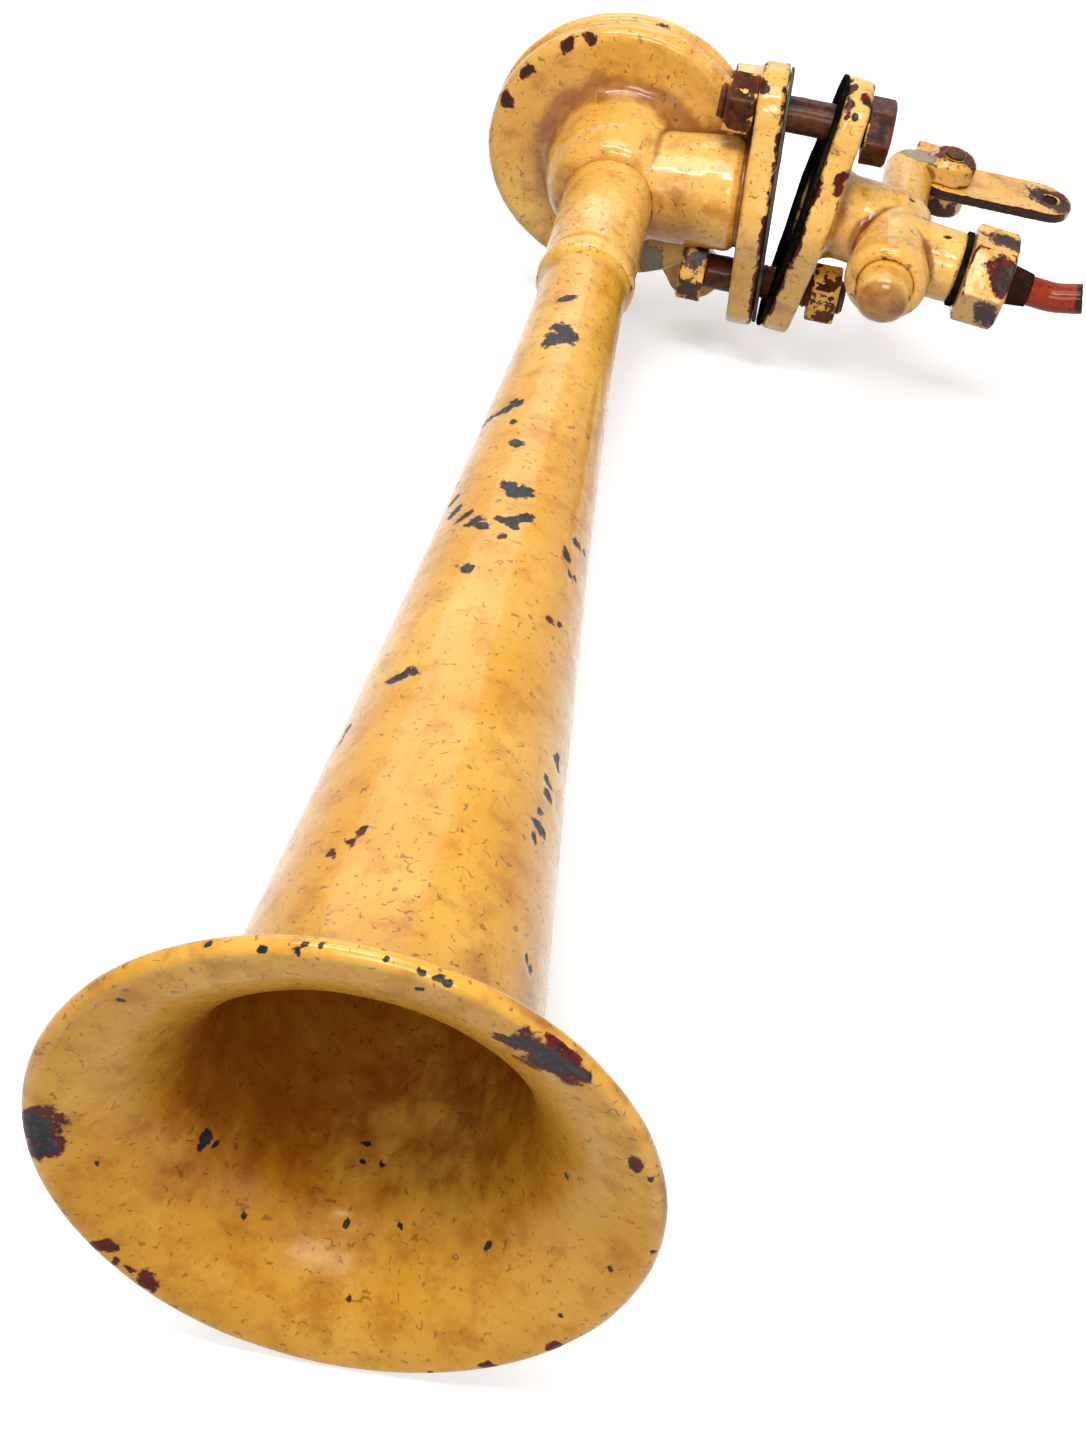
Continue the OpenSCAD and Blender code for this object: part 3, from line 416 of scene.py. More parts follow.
def rust_material(name, paint_share):
    """Rusty steel with remnants of the ochre paint where the coat attribute allows them; its edges are lighter and
    keep more paint, as wear and as painted highlight.
    """
    n = Nodes(name)
    colour, _, _, _ = paint_layers(n, OCHRE_THICK, OCHRE_CREAM, BARE_BROWN, BARE_MAROON)
    patch = n.noise(4.5, 4.0, 0.62, shift=51.0)
    fine = n.noise(0.8, 3.0, 0.65, shift=53.0)
    rust = n.mix(n.step(patch, 0.38, 0.62), RUST_DARK, RUST_WARM)
    rust = n.mix(n.step(n.noise(5.5, 3.0, shift=57.0), 0.5, 0.66), rust, RUST_RED)
    rust = n.mix(n.partly(fine, 0.52, 0.75, 0.55), rust, RUST_SHADE)
    # Lighter rust on edges: wear, and painted highlight
    rust = n.mix(n.math("MULTIPLY", n.attribute("edge"), 0.35), rust, RUST_EDGE_WEAR_AND_HIGHLIGHT)
    # More paint is kept on edges, as remnants and as painted pale highlight
    kept = n.math("ADD", n.noise(5.0, 3.0, 0.6, shift=61.0), n.math("MULTIPLY", n.attribute("edge"), 0.1))
    least = KEPT_AT - KEPT_RANGE * paint_share
    painted = n.math("MULTIPLY", n.step(kept, least, least + KEPT_EDGE), n.attribute("coat"))
    n.set("Base Color", n.mix(painted, rust, colour))
    n.set("Roughness", n.blend(painted, n.blend(fine, 0.28, 0.52), 0.3))
    n.set("Specular IOR Level", 0.08)
    n.set("Normal", n.bump(n.weighted((fine, 0.4), (patch, 0.35), (painted, 0.5)), depth_mm=0.3))
    n.set("Coat Weight", 0.14)
    n.set("Coat Roughness", 0.14)
    return n.material


def rubber_material(name, base, dust, amount):
    """A dull soft surface with dust in patches."""
    n = Nodes(name)
    patch = n.noise(7, 4.0, 0.6)
    fine = n.noise(0.9, 3.0, 0.65, shift=3.0)
    colour = n.mix(n.partly(patch, 0.42, 0.7, amount), base, dust)
    n.set("Base Color", n.mix(n.partly(fine, 0.55, 0.8, 0.35), colour, DUST_WARM))
    n.set("Roughness", n.blend(fine, 0.34, 0.6))
    n.set("Specular IOR Level", 0.0)
    n.set("Normal", n.bump(n.math("ADD", fine, patch), depth_mm=0.18))
    return n.material


def copper_material():
    """Tarnished copper, dark at the tube's end."""
    n = Nodes("copper")
    patch = n.noise(6, 4.0, 0.6, warp=0.6)
    fine = n.noise(1.0, 3.0, 0.6, shift=3.0)
    colour = n.mix(n.step(patch, 0.3, 0.66), COPPER_DULL, COPPER)
    colour = n.mix(n.partly(fine, 0.5, 0.78, 0.4), colour, COPPER_PALE)
    worn = n.math("ADD", n.attribute("chip"), n.math("MULTIPLY", n.math("SUBTRACT", patch, 0.5), 0.9))
    colour = n.mix(n.step(worn, 0.42, 0.56), colour, COPPER_DARK)
    colour = n.mix(n.partly(n.noise(2.2, 2.0, shift=7.0), 0.66, 0.72, 0.7), colour, COPPER_DARK)
    n.set("Base Color", colour)
    n.set("Specular IOR Level", 0.05)
    n.set("Roughness", n.blend(fine, 0.2, 0.42))
    n.set("Coat Weight", 0.25)
    n.set("Coat Roughness", 0.06)
    n.set("Normal", n.bump(n.weighted((patch, 1.0), (fine, 0.4)), depth_mm=0.35))
    return n.material


def plain_metal(name, base, rough, dark):
    """Dull bare metal for the pieces inside."""
    n = Nodes(name)
    patch = n.noise(8, 4.0, 0.6)
    fine = n.noise(0.6, 3.0, 0.6, stretch=(1, 5, 1), shift=3.0)
    colour = n.mix(n.step(patch, 0.35, 0.72), base, dark)
    n.set("Base Color", n.mix(n.math("MULTIPLY", fine, 0.3), colour, dark))
    n.set("Metallic", 0.85)
    n.set("Roughness", n.blend(fine, rough - 0.1, rough + 0.15))
    n.set("Normal", n.bump(n.math("ADD", fine, patch), depth_mm=0.06))
    return n.material


def floor_material():
    """A pale floor that glows towards its edges and throws less light back at the object than it shows."""
    n = Nodes("floor")
    cloud = n.noise(FLOOR_CLOUD_MM)
    path = n.add("ShaderNodeLightPath")
    seen = n.math("MAXIMUM", path.outputs["Is Camera Ray"], path.outputs["Is Glossy Ray"])
    seen = n.math("MAXIMUM", seen, path.outputs["Is Transmission Ray"])
    pale = n.mix(cloud, *FLOOR_TONES)
    n.set("Base Color", n.mix(seen, FLOOR_BOUNCE, pale))
    n.set("Emission Color", WHITE)
    away = n.add("ShaderNodeVectorMath")
    away.operation = "LENGTH"
    n.put(away.inputs[0], n.place)
    glow = n.add("ShaderNodeMapRange")
    n.put(glow.inputs["Value"], away.outputs["Value"])
    for name, value in zip(("From Min", "From Max", "To Min", "To Max"), FLOOR_GLOW):
        glow.inputs[name].default_value = value
    n.set("Emission Strength", n.math("MULTIPLY", seen, glow.outputs[0]))
    n.set("Roughness", 0.9)
    n.set("Specular IOR Level", 0.1)
    return n.material


def make_stage():
    make_camera()
    make_world()
    for name, lamp in LAMPS.items():
        area_light(name, *lamp)
    bpy.ops.mesh.primitive_plane_add(size=FLOOR_SIZE, location=(0, 0, cad_box[0].z))
    floor = bpy.context.object
    floor.name = "floor"
    floor.data.materials.append(floor_material())


# Skins

# Distance in metres within which a CAD mesh's points are joined
WELD = 1e-6
# Share of the reach by which a sharp edge gives way when a skin is relaxed
GIVE = 0.2


def lumps(points, size, seed):
    """Smooth random values from -1 to 1 at the points, with lumps about size across."""
    at = points / size + seed * 17.31
    cell = np.floor(at).astype(np.int64)
    part = at - cell
    part = part * part * (3 - 2 * part)
    total = np.zeros(len(points))
    for corner in itertools.product((0, 1), repeat=3):
        c = cell + np.array(corner)
        code = (c[:, 0] * 73856093) ^ (c[:, 1] * 19349663) ^ (c[:, 2] * 83492791)
        code = ((code ^ (code >> 13)) * 1274126177) & 0x7FFFFFFF
        weight = np.prod(np.where(np.array(corner), part, 1 - part), axis=1)
        total += weight * ((code % 20011) / 10005.0 - 1)
    return total


def wave_height(points, waves):
    """The sum of waves, each a height, a size in metres and a seed."""
    return sum(tall * lumps(points, size, seed) for tall, size, seed in waves)


class Skin:
    """A mesh as arrays: places, edges and normals, in metres."""

    def __init__(self, mesh):
        self.mesh = mesh
        self.places = self.read(mesh.vertices, "co", 3)
        self.edges = np.empty(len(mesh.edges) * 2, np.int64)
        mesh.edges.foreach_get("vertices", self.edges)
        self.edges = self.edges.reshape(-1, 2)

    def read(self, rows, name, width):
        values = np.empty(len(rows) * width, np.float32)
        rows.foreach_get(name, values)
        return values.reshape(-1, width).astype(float)

    def write(self):
        self.mesh.vertices.foreach_set("co", self.places.astype(np.float32).ravel())
        self.mesh.update()

    def normals(self):
        self.write()
        return self.read(self.mesh.vertex_normals, "vector", 3)

    def relaxed(self, passes):
        """The places after each point has moved towards its neighbours a number of times."""
        a, b = self.edges.T
        count = len(self.places)
        near = np.maximum(np.bincount(self.edges.ravel(), minlength=count), 1)
        places = self.places.copy()
        for _ in range(passes):
            for k in range(3):
                x = places[:, k]
                mean = np.bincount(a, x[b], count) + np.bincount(b, x[a], count)
                places[:, k] = 0.5 * x + 0.5 * mean / near
        return places

    def bend(self, reach_mm, spacing_mm):
        """How sharply the skin bends within reach_mm: about 1 at a sharp edge and -1 in a sharp hollow."""
        passes = int(2 * (reach_mm / spacing_mm) ** 2)
        given = np.sum((self.places - self.relaxed(passes)) * self.normals(), axis=1)
        return given / (GIVE * reach_mm * MM)

    def swell(self, waves, share=1.0, shift_mm=0.0):
        """Moves the skin along its normals by a share of the waves, with heights in mm, and a shift."""
        height = share * wave_height(self.places, waves) + shift_mm
        self.places += self.normals() * (height * MM)[:, None]

    def attribute(self, name, values):
        layer = self.mesh.attributes.get(name) or self.mesh.attributes.new(name, "FLOAT", "POINT")
        layer.data.foreach_set("value", np.clip(values, 0, 1).astype(np.float32))


def voxel_skin(node, voxel_mm, soften):
    """A CAD node drawn again in small even quads, with its edges rounded by soften passes."""
    shape = bmesh.new()
    shape.from_mesh(frame["nodes"][node].data)
    bmesh.ops.remove_doubles(shape, verts=shape.verts, dist=WELD)
    welded = bpy.data.meshes.new(node + "_welded")
    shape.to_mesh(welded)
    shape.free()
    source = bpy.data.objects.new(node + "_welded", welded)
    bpy.context.scene.collection.objects.link(source)
    remesh = source.modifiers.new("skin", "REMESH")
    remesh.mode = "VOXEL"
    remesh.voxel_size = voxel_mm * MM
    drawn = source.evaluated_get(bpy.context.evaluated_depsgraph_get())
    skin = Skin(bpy.data.meshes.new_from_object(drawn))
    bpy.data.objects.remove(source)
    bpy.data.meshes.remove(welded)
    skin.places = skin.relaxed(soften)
    return skin


def add_wear(skin, reach_mm, spacing_mm):
    """Marks how sharply the skin bends: edge where it is convex, crevice where it is hollow."""
    sharp = skin.bend(reach_mm, spacing_mm)
    skin.attribute("edge", sharp)
    skin.attribute("crevice", -sharp)
    return np.clip(sharp, 0, 1)


# Directions of the valve's works: outward along the feed, up along the lever's pin, and backward
OUTWARD = np.array(JOINTS["nut_turn"]["axis"])
UPWARD = np.array(JOINTS["lever_swing"]["axis"])
BACKWARD = np.cross(UPWARD, OUTWARD)


def near_pin(x, y, z):
    """A place in millimetres from the lever's pin: x outward, y backward, z up."""
    return tuple(np.array(JOINTS["lever_swing"]["pos_m"]) / MM + x * OUTWARD + y * BACKWARD + z * UPWARD)


# The union nut's width across flats in mm and the turn of its first flat in degrees
NUT_FLATS, NUT_TURN = 29.0, 58.0
# Where the marks on its flats lie along it in mm, and by how much they differ
NUT_MARK_AT, NUT_MARK_VARY = 3.6, 0.7
# Middle of the eye on the lever's upper side
EYE_MOUNT = MOUNTS["lever_eye"]
LEVER_EYE = np.array(EYE_MOUNT["pos_m"]) / MM + UPWARD * EYE_MOUNT["dims"]["length_mm"] / 2


def nut_marks(radius):
    """A worn patch towards the outer end of each of the union nut's flats."""
    centre = np.array(JOINTS["nut_turn"]["pos_m"]) / MM
    marks = []
    for k in range(6):
        turn = math.radians(NUT_TURN + 60 * k)
        out = BACKWARD * math.sin(turn) - UPWARD * math.cos(turn)
        along = NUT_MARK_AT + NUT_MARK_VARY * math.sin(3 * k)
        marks.append((*(centre + out * NUT_FLATS / 2 + OUTWARD * along), radius))
    return marks


# Kinds of chips: to dark metal, to primer, to metal with a wide ring of primer, and to pale metal.
# Each gives a share of the chip's radius to the attributes that it marks.
BARE, RED, BOTH, PALE = range(4)
CHIP_SIZES = {
    BARE: {"chip": 1.0, "primer": 1.0},
    RED: {"primer": 1.0},
    BOTH: {"chip": 0.85, "primer": 1.35},
    PALE: {"chip": 1.0, "primer": 1.0, "pale": 1.4},
}
CHIP_SCALE = 1.35
CHIP_STRETCH, CHIP_UNEVEN = 1.6, 0.35
CHIP_LUMP = 1.3
CHIP_DEPTH_MM = 0.15
# Value of the chip field at which the skin begins to sink, and the run to its full depth
SUNK_FROM, SUNK_RUN = 0.3, 0.3
PALE_GAIN = 3
# Least cosine between the skin and a chip's middle for the chip to reach there
CHIP_FACING = 0.2
# Chips picked one by one in the photograph: pixel column and row, and radius in millimetres
PHOTO_CHIPS = {
    "bell": {
        BARE: [
            (567.5, 298, 1.5), (563.75, 328.75, 2.7), (556.25, 338.75, 2.4), (567.5, 338.75, 2.1),
            (516.25, 403.25, 1.4), (507.5, 408, 1.4), (500, 413, 1.4), (488.75, 419.5, 1.3),
            (485, 423.75, 0.9), (513.75, 422, 0.9), (517.5, 443.25, 1.4), (511.25, 487.5, 2.1),
            (520, 492.5, 2.1), (457.5, 485, 0.9), (453.75, 501.25, 1.3), (455, 512.5, 1.6),
            (463.75, 517.5, 1.3), (473.75, 522.5, 1.6), (481.25, 526.25, 1.3), (502.5, 519.5, 1.3),
            (512.5, 521.25, 1.6), (523.75, 518, 1.6), (513.75, 526.25, 1), (466.25, 568.75, 1.3),
            (576.75, 543.75, 1.1), (567.5, 556.25, 1.3), (585, 553.75, 0.9), (569.5, 573, 0.8),
            (574.5, 578.75, 0.8), (405, 673, 1.4), (392, 680, 1.2), (413, 672, 1), (347, 730, 1.2),
            (341, 742, 0.9), (557, 758, 1.2), (558, 768, 0.9), (548, 780, 1.2), (548, 795, 1.4),
            (541, 812, 0.9), (540, 827, 1.6), (535, 838, 0.9), (545, 835, 0.9), (527, 958, 0.74),
            (531, 970, 0.81), (262, 950, 0.74), (297.2, 952, 0.59), (322, 946, 0.59), (304, 944.8, 0.59),
            (208, 944.8, 0.59), (422, 972, 0.59), (438, 978, 0.59), (448, 983.2, 0.59), (420, 988.8, 0.52),
            (120, 1000, 0.59), (386, 958.8, 0.52), (206, 1138, 1.3), (216, 1144, 0.59), (487.2, 1246, 0.67),
            (96.8, 1163.2, 0.52), (362, 1160, 0.59), (382, 1162, 0.59), (367.2, 1142.8, 0.59),
            (560, 1316, 0.52), (610, 1270, 0.52), (244, 1216, 0.52), (400, 1225.2, 0.52), (346, 1224, 0.59),
            (430, 1100, 0.67), (566, 1176, 0.52), (654, 1252, 0.59), (652, 1180, 0.59),
        ],
        RED: [
            (502.5, 536.25, 0.9), (550, 619.25, 1), (560, 625, 0.8), (362, 830, 1), (350, 842, 1),
            (332, 855, 1), (420, 895, 0.52), (104, 1246, 1.9), (116, 1260, 0.81), (130, 1270, 0.74),
            (148, 1282, 2.2), (636, 1164, 1.4), (349.2, 1297.2, 0.52),
        ],
        BOTH: [
            (512, 1042, 1.6), (530, 1046, 2.3), (548, 1058, 2.7), (566, 1068, 2.1), (580, 1074, 1.3),
            (34, 1116, 1.6), (40, 1130, 2.9), (44, 1148, 1.9),
        ],
    },
    "head_casting": {
        BOTH: [(568, 44, 1.3), (590, 38, 1.1), (505, 99, 1.7), (525, 72, 1.2), (761.75, 86.25, 1.3)],
        PALE: [(645, 258, 3.2), (654, 260, 2.8)],
    },
    "valve_body": {
        RED: [
            (849.5, 105, 1.3), (855.5, 86.25, 1), (840, 180, 1.6), (839.25, 190, 1.3),
            (868.75, 101.25, 1.6), (815, 195, 1.1), (788.75, 267.5, 1),
        ],
        BARE: [(847, 116.25, 0.8), (854.5, 117.5, 0.8), (911.25, 200, 0.8), (948, 237, 0.7)],
    },
}
# Chips given by their place: place and radius in millimetres
CHIPS = {
    "bell": {RED: [(47.0, -466.5, -45.5, 1.5), (33.0, -466.5, -56.0, 1.2), (20.0, -466.6, -62.0, 0.67)]},
    "head_casting": {BOTH: [(33.4, -22.0, 35.0, 2.3), (34.3, -21.5, 30.5, 1.6)]},
    "bonnet_yoke": {
        PALE: [(*near_pin(-13.3, -3.8, 8.7), 3.2)],
        BOTH: [(*near_pin(0, 0, 10.6), 3.8), (*near_pin(-1, -8, -7), 2.2), (*near_pin(4, -7, -9), 2.0)],
    },
    "lever": {BARE: [(*LEVER_EYE, 4.2)], RED: [(*LEVER_EYE, 5.2)]},
    "union_nut": {BARE: nut_marks(3.1), RED: nut_marks(3.9)},
}


def chips_of(node):
    """A node's chips by kind. One picked in the photograph lies where its pixel's ray meets the CAD node."""
    chips = {kind: list(marks) for kind, marks in CHIPS.get(node, {}).items()}
    mesh = frame["nodes"][node].data
    tree = BVHTree.FromPolygons([v.co for v in mesh.vertices], [face.vertices for face in mesh.polygons])
    for kind, marks in PHOTO_CHIPS.get(node, {}).items():
        for column, row, radius in marks:
            place = tree.ray_cast(Vector(CAMERA_AT), pixel_ray(column, row))[0]
            chips.setdefault(kind, []).append((*(round(c / MM, 1) for c in place), radius))
    return chips


def add_chips(skin, chips, worn=None):
    """Marks where paint is lost, from chips and worn fields. A chip reaches only the side that it lies on."""
    normals = skin.normals()
    fields = {name: np.zeros(len(skin.places)) for name in ("chip", "primer", "pale")}
    fields.update(worn or {})
    for kind, marks in chips.items():
        for x, y, z, radius in marks:
            offset = skin.places / MM - np.array([x, y, z])
            way = normals[np.argmin(np.sum(offset**2, axis=1))]
            facing = normals @ way > CHIP_FACING
            # The chip is drawn out along a direction that depends on its place alone
            lay = np.cross(way, (math.sin(7 * x + y), math.cos(5 * z), math.sin(3 * y + z)))
            lay /= np.linalg.norm(lay)
            offset -= (1 - 1 / CHIP_STRETCH) * (offset @ lay)[:, None] * lay
            away = np.linalg.norm(offset, axis=1) * CHIP_STRETCH**0.5
            away *= 1 + CHIP_UNEVEN * lumps(skin.places, CHIP_LUMP * radius * MM, x)
            for name, share in CHIP_SIZES[kind].items():
                field = np.where(facing, 1 - away / (2 * radius * share * CHIP_SCALE), 0)
                fields[name] = np.maximum(fields[name], field)
    sunk = np.clip((fields["chip"] - SUNK_FROM) / SUNK_RUN, 0, 1)
    skin.places -= normals * (sunk * CHIP_DEPTH_MM * MM)[:, None]
    for name, field in fields.items():
        skin.attribute(name, field * (PALE_GAIN if name == "pale" else 1))


def finish_piece(skin, node, material):
    """Makes the skin stand for its CAD node."""
    skin.write()
    mesh = skin.mesh
    mesh.materials.clear()
    mesh.materials.append(material)
    mesh.polygons.foreach_set("use_smooth", np.ones(len(mesh.polygons), bool))
    piece = bpy.data.objects.new(node + "_skin", mesh)
    bpy.context.scene.collection.objects.link(piece)
    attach(piece, BODY_OF[node])
    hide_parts(node)
    return piece


# The bell, turned from its own profile

HORN_LENGTH, MOUTH_R, SMALL_R, CONE_R = 466.0, 67.0, 13.6, 39.4
CONE_POWER, FLARE_DEPTH = 1.3, 31.0
BELL_WALL, LIP_R = 1.6, 2.3
NECK_END, BELL_INSERT = 108.5, 16.0
BELL_RUN = HORN_LENGTH - NECK_END - BELL_WALL + 0.45
# Paint that fills the corner at the neck's collar: its height and its run along the bell
FILLET_MM, FILLET_RUN = 1.3, 4.5
BELL_SIDES = 400
CONE_ROWS, FLARE_ROWS, BEAD_ROWS = 200, 64, 20
BELL_WAVES = ((0.16, 0.03, 1), (0.10, 0.011, 2), (0.05, 0.005, 3))
BELL_REACH_MM, BELL_SPACING_MM = 3.0, 1.2
# How far before the mouth the painted shade inside the bell begins, the run to its full share, and how much more
# is added on the left
INSIDE_SHADE_LEAD, INSIDE_SHADE_RUN, INSIDE_SHADE_LEFT = 4.0, 62.0, 1.3
# Brown streaks across the painted shade inside the bell: their share, their length, and the sizes and seeds of
# their lumps
INSIDE_STREAK, STREAK_MM = 0.22, 90.0
STREAK_WAVES = ((1.0, 0.09, 14), (1.0, 0.035, 17))
INSIDE_CLEAN = 0.75
# Brown stains on the outside: place and reach
BELL_STAINS = [(31.0, -424.0, 14.0, 15.0), (22.0, -431.0, 30.0, 9.0), (-27.0, -408.0, 12.0, 12.0)]
STAIN_SHARE = 0.8
# Grime on the lip: where it begins inward from the edge and the run to its full share, its mean and its waves
LIP_GRIME_FROM, LIP_GRIME_RUN, LIP_GRIME_MEAN = 1.4, 1.2, 0.45
LIP_GRIME_WAVES = ((0.6, 0.009, 18),)


def bell_profile():
    """Radius and station along the outside, round the lip and back along the inside, with an inside share."""
    share = FLARE_DEPTH / BELL_RUN
    turn = np.concatenate([np.zeros(CONE_ROWS), np.linspace(0, math.pi / 2, FLARE_ROWS)])
    straight = np.linspace(0, 1 - share, CONE_ROWS, endpoint=False)
    t = np.concatenate([straight, 1 - share * (1 - np.sin(turn[CONE_ROWS:]))])
    cone = (CONE_R - SMALL_R) * t**CONE_POWER
    outer = np.stack([SMALL_R + cone + (MOUTH_R - CONE_R) * (1 - np.cos(turn)), NECK_END + BELL_RUN * t], 1)
    cone_slope = (CONE_R - SMALL_R) * CONE_POWER * t ** (CONE_POWER - 1) / BELL_RUN
    flare_slope = (MOUTH_R - CONE_R) / FLARE_DEPTH
    way = np.stack([cone_slope * np.cos(turn) + flare_slope * np.sin(turn), np.cos(turn)], 1)
    way /= np.linalg.norm(way, axis=1)[:, None]
    inner = outer + BELL_WALL * np.stack([-way[:, 1], way[:, 0]], 1)
    lip = np.array([MOUTH_R - LIP_R, HORN_LENGTH - LIP_R + 0.6])
    outer = outer[outer[:, 0] < lip[0] - LIP_R]
    outer[:, 0] += FILLET_MM * np.clip(1 - (outer[:, 1] - NECK_END) / FILLET_RUN, 0, 1) ** 2
    inner = inner[inner[:, 0] < lip[0] - 0.8]
    bend = np.radians(np.linspace(-190, 95, BEAD_ROWS))
    bead = lip + LIP_R * np.stack([np.cos(bend), np.sin(bend)], 1)
    tail = NECK_END - BELL_INSERT
    start = [[SMALL_R, tail], [SMALL_R, tail + 8]]
    end = [[SMALL_R - BELL_WALL, tail + 8], [SMALL_R - BELL_WALL, tail]]
    back = np.concatenate([inner[:-FLARE_ROWS:2], inner[-FLARE_ROWS:]])[::-1]
    rows = np.concatenate([start, outer, bead, back, end])
    inside = np.concatenate([np.zeros(2 + len(outer) + BEAD_ROWS), np.ones(len(back) + 2)])
    return rows, inside


def make_bell(material):
    rows, inside = bell_profile()
    count = len(rows)
    turn = np.linspace(0, 2 * math.pi, BELL_SIDES, endpoint=False)
    around = np.stack([np.cos(turn), np.zeros(BELL_SIDES), np.sin(turn)], 1)
    places = rows[:, None, :1] * around[None] + np.array([0, -1, 0]) * rows[:, None, 1:]
    index = np.arange(count * BELL_SIDES).reshape(count, BELL_SIDES)
    after = np.roll(index, -1, axis=1)
    down = np.roll(index, -1, axis=0)
    quads = np.stack([index, after, np.roll(after, -1, axis=0), down], 2).reshape(-1, 4)
    mesh = bpy.data.meshes.new("bell_skin")
    mesh.from_pydata((places.reshape(-1, 3) * MM).tolist(), [], quads.tolist())
    skin = Skin(mesh)
    skin.swell(BELL_WAVES)
    edge = add_wear(skin, BELL_REACH_MM, BELL_SPACING_MM)
    depth = np.repeat(HORN_LENGTH - rows[:, 1], BELL_SIDES)
    # The edge at the collar lies under paint
    skin.attribute("edge", np.where(depth < HORN_LENGTH - NECK_END - 2 * FILLET_RUN, edge, 0))
    spread = np.concatenate([np.tile(around[:, ::2], (count, 1)), depth[:, None] / STREAK_MM], 1)
    streaks = wave_height(spread, STREAK_WAVES)
    leftward = np.clip(-np.tile(around[:, 0], count), 0, 1)
    # Inside, painted shade grows towards the throat and on the left, varied by streaks; the stains outside and the
    # grime on the lip are dirt
    dirt_and_shade = np.clip((depth + INSIDE_SHADE_LEAD) / INSIDE_SHADE_RUN, 0, 1) * (1 + INSIDE_STREAK * streaks + INSIDE_SHADE_LEFT * leftward)
    dirt_and_shade = np.repeat(inside, BELL_SIDES) * dirt_and_shade
    for *place, reach in BELL_STAINS:
        away = np.linalg.norm(skin.places / MM - place, axis=1) / reach
        dirt_and_shade = np.maximum(dirt_and_shade, np.clip(STAIN_SHARE * (1 - away), 0, 1))
    radius = np.hypot(skin.places[:, 0], skin.places[:, 2]) / MM
    grimy = LIP_GRIME_MEAN + wave_height(skin.places, LIP_GRIME_WAVES)
    grimy *= np.clip((radius - MOUTH_R + LIP_GRIME_FROM) / LIP_GRIME_RUN, 0, 1)
    skin.attribute("dirt_and_shade", np.maximum(dirt_and_shade, grimy))
    skin.attribute("clean", np.repeat(inside, BELL_SIDES) * INSIDE_CLEAN)
    add_chips(skin, chips_of("bell"))
    finish_piece(skin, "bell", material)


# Castings and other painted pieces

# Voxel size in mm and softening passes of each skin, then the share of paint that rusty steel keeps
PAINTED = {"neck_tube": (0.75, 4), "head_casting": (0.62, 7), "rear_cover": (0.75, 5),
           "valve_body": (0.55, 7), "end_cap": (0.45, 5), "bonnet_yoke": (0.42, 7), "lever": (0.38, 4),
           "union_nut": (0.4, 4)}
RUSTY = {"upper_bolt": (0.36, 3, 0.0), "upper_nut": (0.36, 3, 0.22), "lower_bolt": (0.36, 3, 0.3),
         "lower_nut": (0.36, 3, 0.36), "lever_pin": (0.3, 3, 0.0), "cover_screws": (0.36, 2, 0.7)}
SOFT = {"horn_gasket": (0.42, 2), "valve_gasket": (0.45, 2), "union_washer": (0.35, 2),
        "tube_nipple": (0.4, 3)}
TUBE, SPRING = (0.4, 3), (0.2, 2)
CAST_WAVES = ((0.15, 0.011, 4), (0.12, 0.0045, 5), (0.05, 0.002, 15))
RUST_WAVES = ((0.08, 0.004, 6), (0.05, 0.0015, 7))
SOFT_WAVES = ((0.12, 0.006, 8), (0.06, 0.002, 9))
TUBE_WAVES = ((0.12, 0.007, 10), (0.05, 0.0025, 11))
# Moving pieces have flatter skins that stay within their CAD faces, and soft pieces stay just inside theirs
MOVING, MOVING_SHARE, KEEP_IN_MM = ("lever", "union_nut"), 0.5, 0.16
SOFT_IN_MM = 0.1
CAST_REACH_MM, RUST_REACH_MM = 1.8, 1.2

# A point on each flange's joint face in mm, and the face's lean in degrees
JOINT_FACES = {"head_casting": ((55.0, -36.0, 47.45), 1.8), "valve_body": ((64.75, -36.0, -0.83), 11.8)}
JOINT_EDGE_MM = 2.4
# Wear of the joints' edges: its mean and waves, and how much less of it goes down to the metal
JOINT_RUB, JOINT_LESS = 0.5, 0.22
JOINT_WAVES = ((0.42, 0.007, 12), (0.22, 0.0025, 13))
# Wear of the union nut's edges: its mean and waves
NUT_RUB, NUT_WAVES = 0.4, ((0.5, 0.006, 16),)
# Bare metal colour on the lever's front side, drawn as painted shade
LEVER_FRONT_SHADE = 0.78
# Painted shade, and dirt on the lever: how far a hollow reaches, how it grows there, and the most that each place
# gets
HOLLOW_SHADE_REACH_MM = 4.5
HOLLOW_GAIN, HOLLOW_LEAST = 2.4, 0.1
HOLLOW_SHADE, HEAD_FACE_SHADE, CAP_FRONT_SHADE, LEVER_DIRT = 0.9, 0.8, 0.85, 0.25
# The head's face has no painted shade beyond a radius and above a height, and its painted shade grows over a run
# from each
HEAD_UNSHADED_R, HEAD_R_RUN = 42.0, 14.0
HEAD_UNSHADED_Z, HEAD_Z_RUN = 34.0, 40.0


def front_share(normals, least, run):
    """0 to 1 as the skin turns to the front of the valve's works."""
    return np.clip((-(normals @ BACKWARD) - least) / run, 0, 1)


def make_painted(material):
    for node, (voxel, soften) in PAINTED.items():
        skin = voxel_skin(node, voxel, soften)
        if node in MOVING:
            skin.swell(CAST_WAVES, MOVING_SHARE, -KEEP_IN_MM)
        else:
            skin.swell(CAST_WAVES)
        edge = add_wear(skin, CAST_REACH_MM, voxel)
        add_chips(skin, chips_of(node), worn_fields(skin, node, edge))
        add_dirt_and_shade(skin, node, voxel)
        finish_piece(skin, node, material)


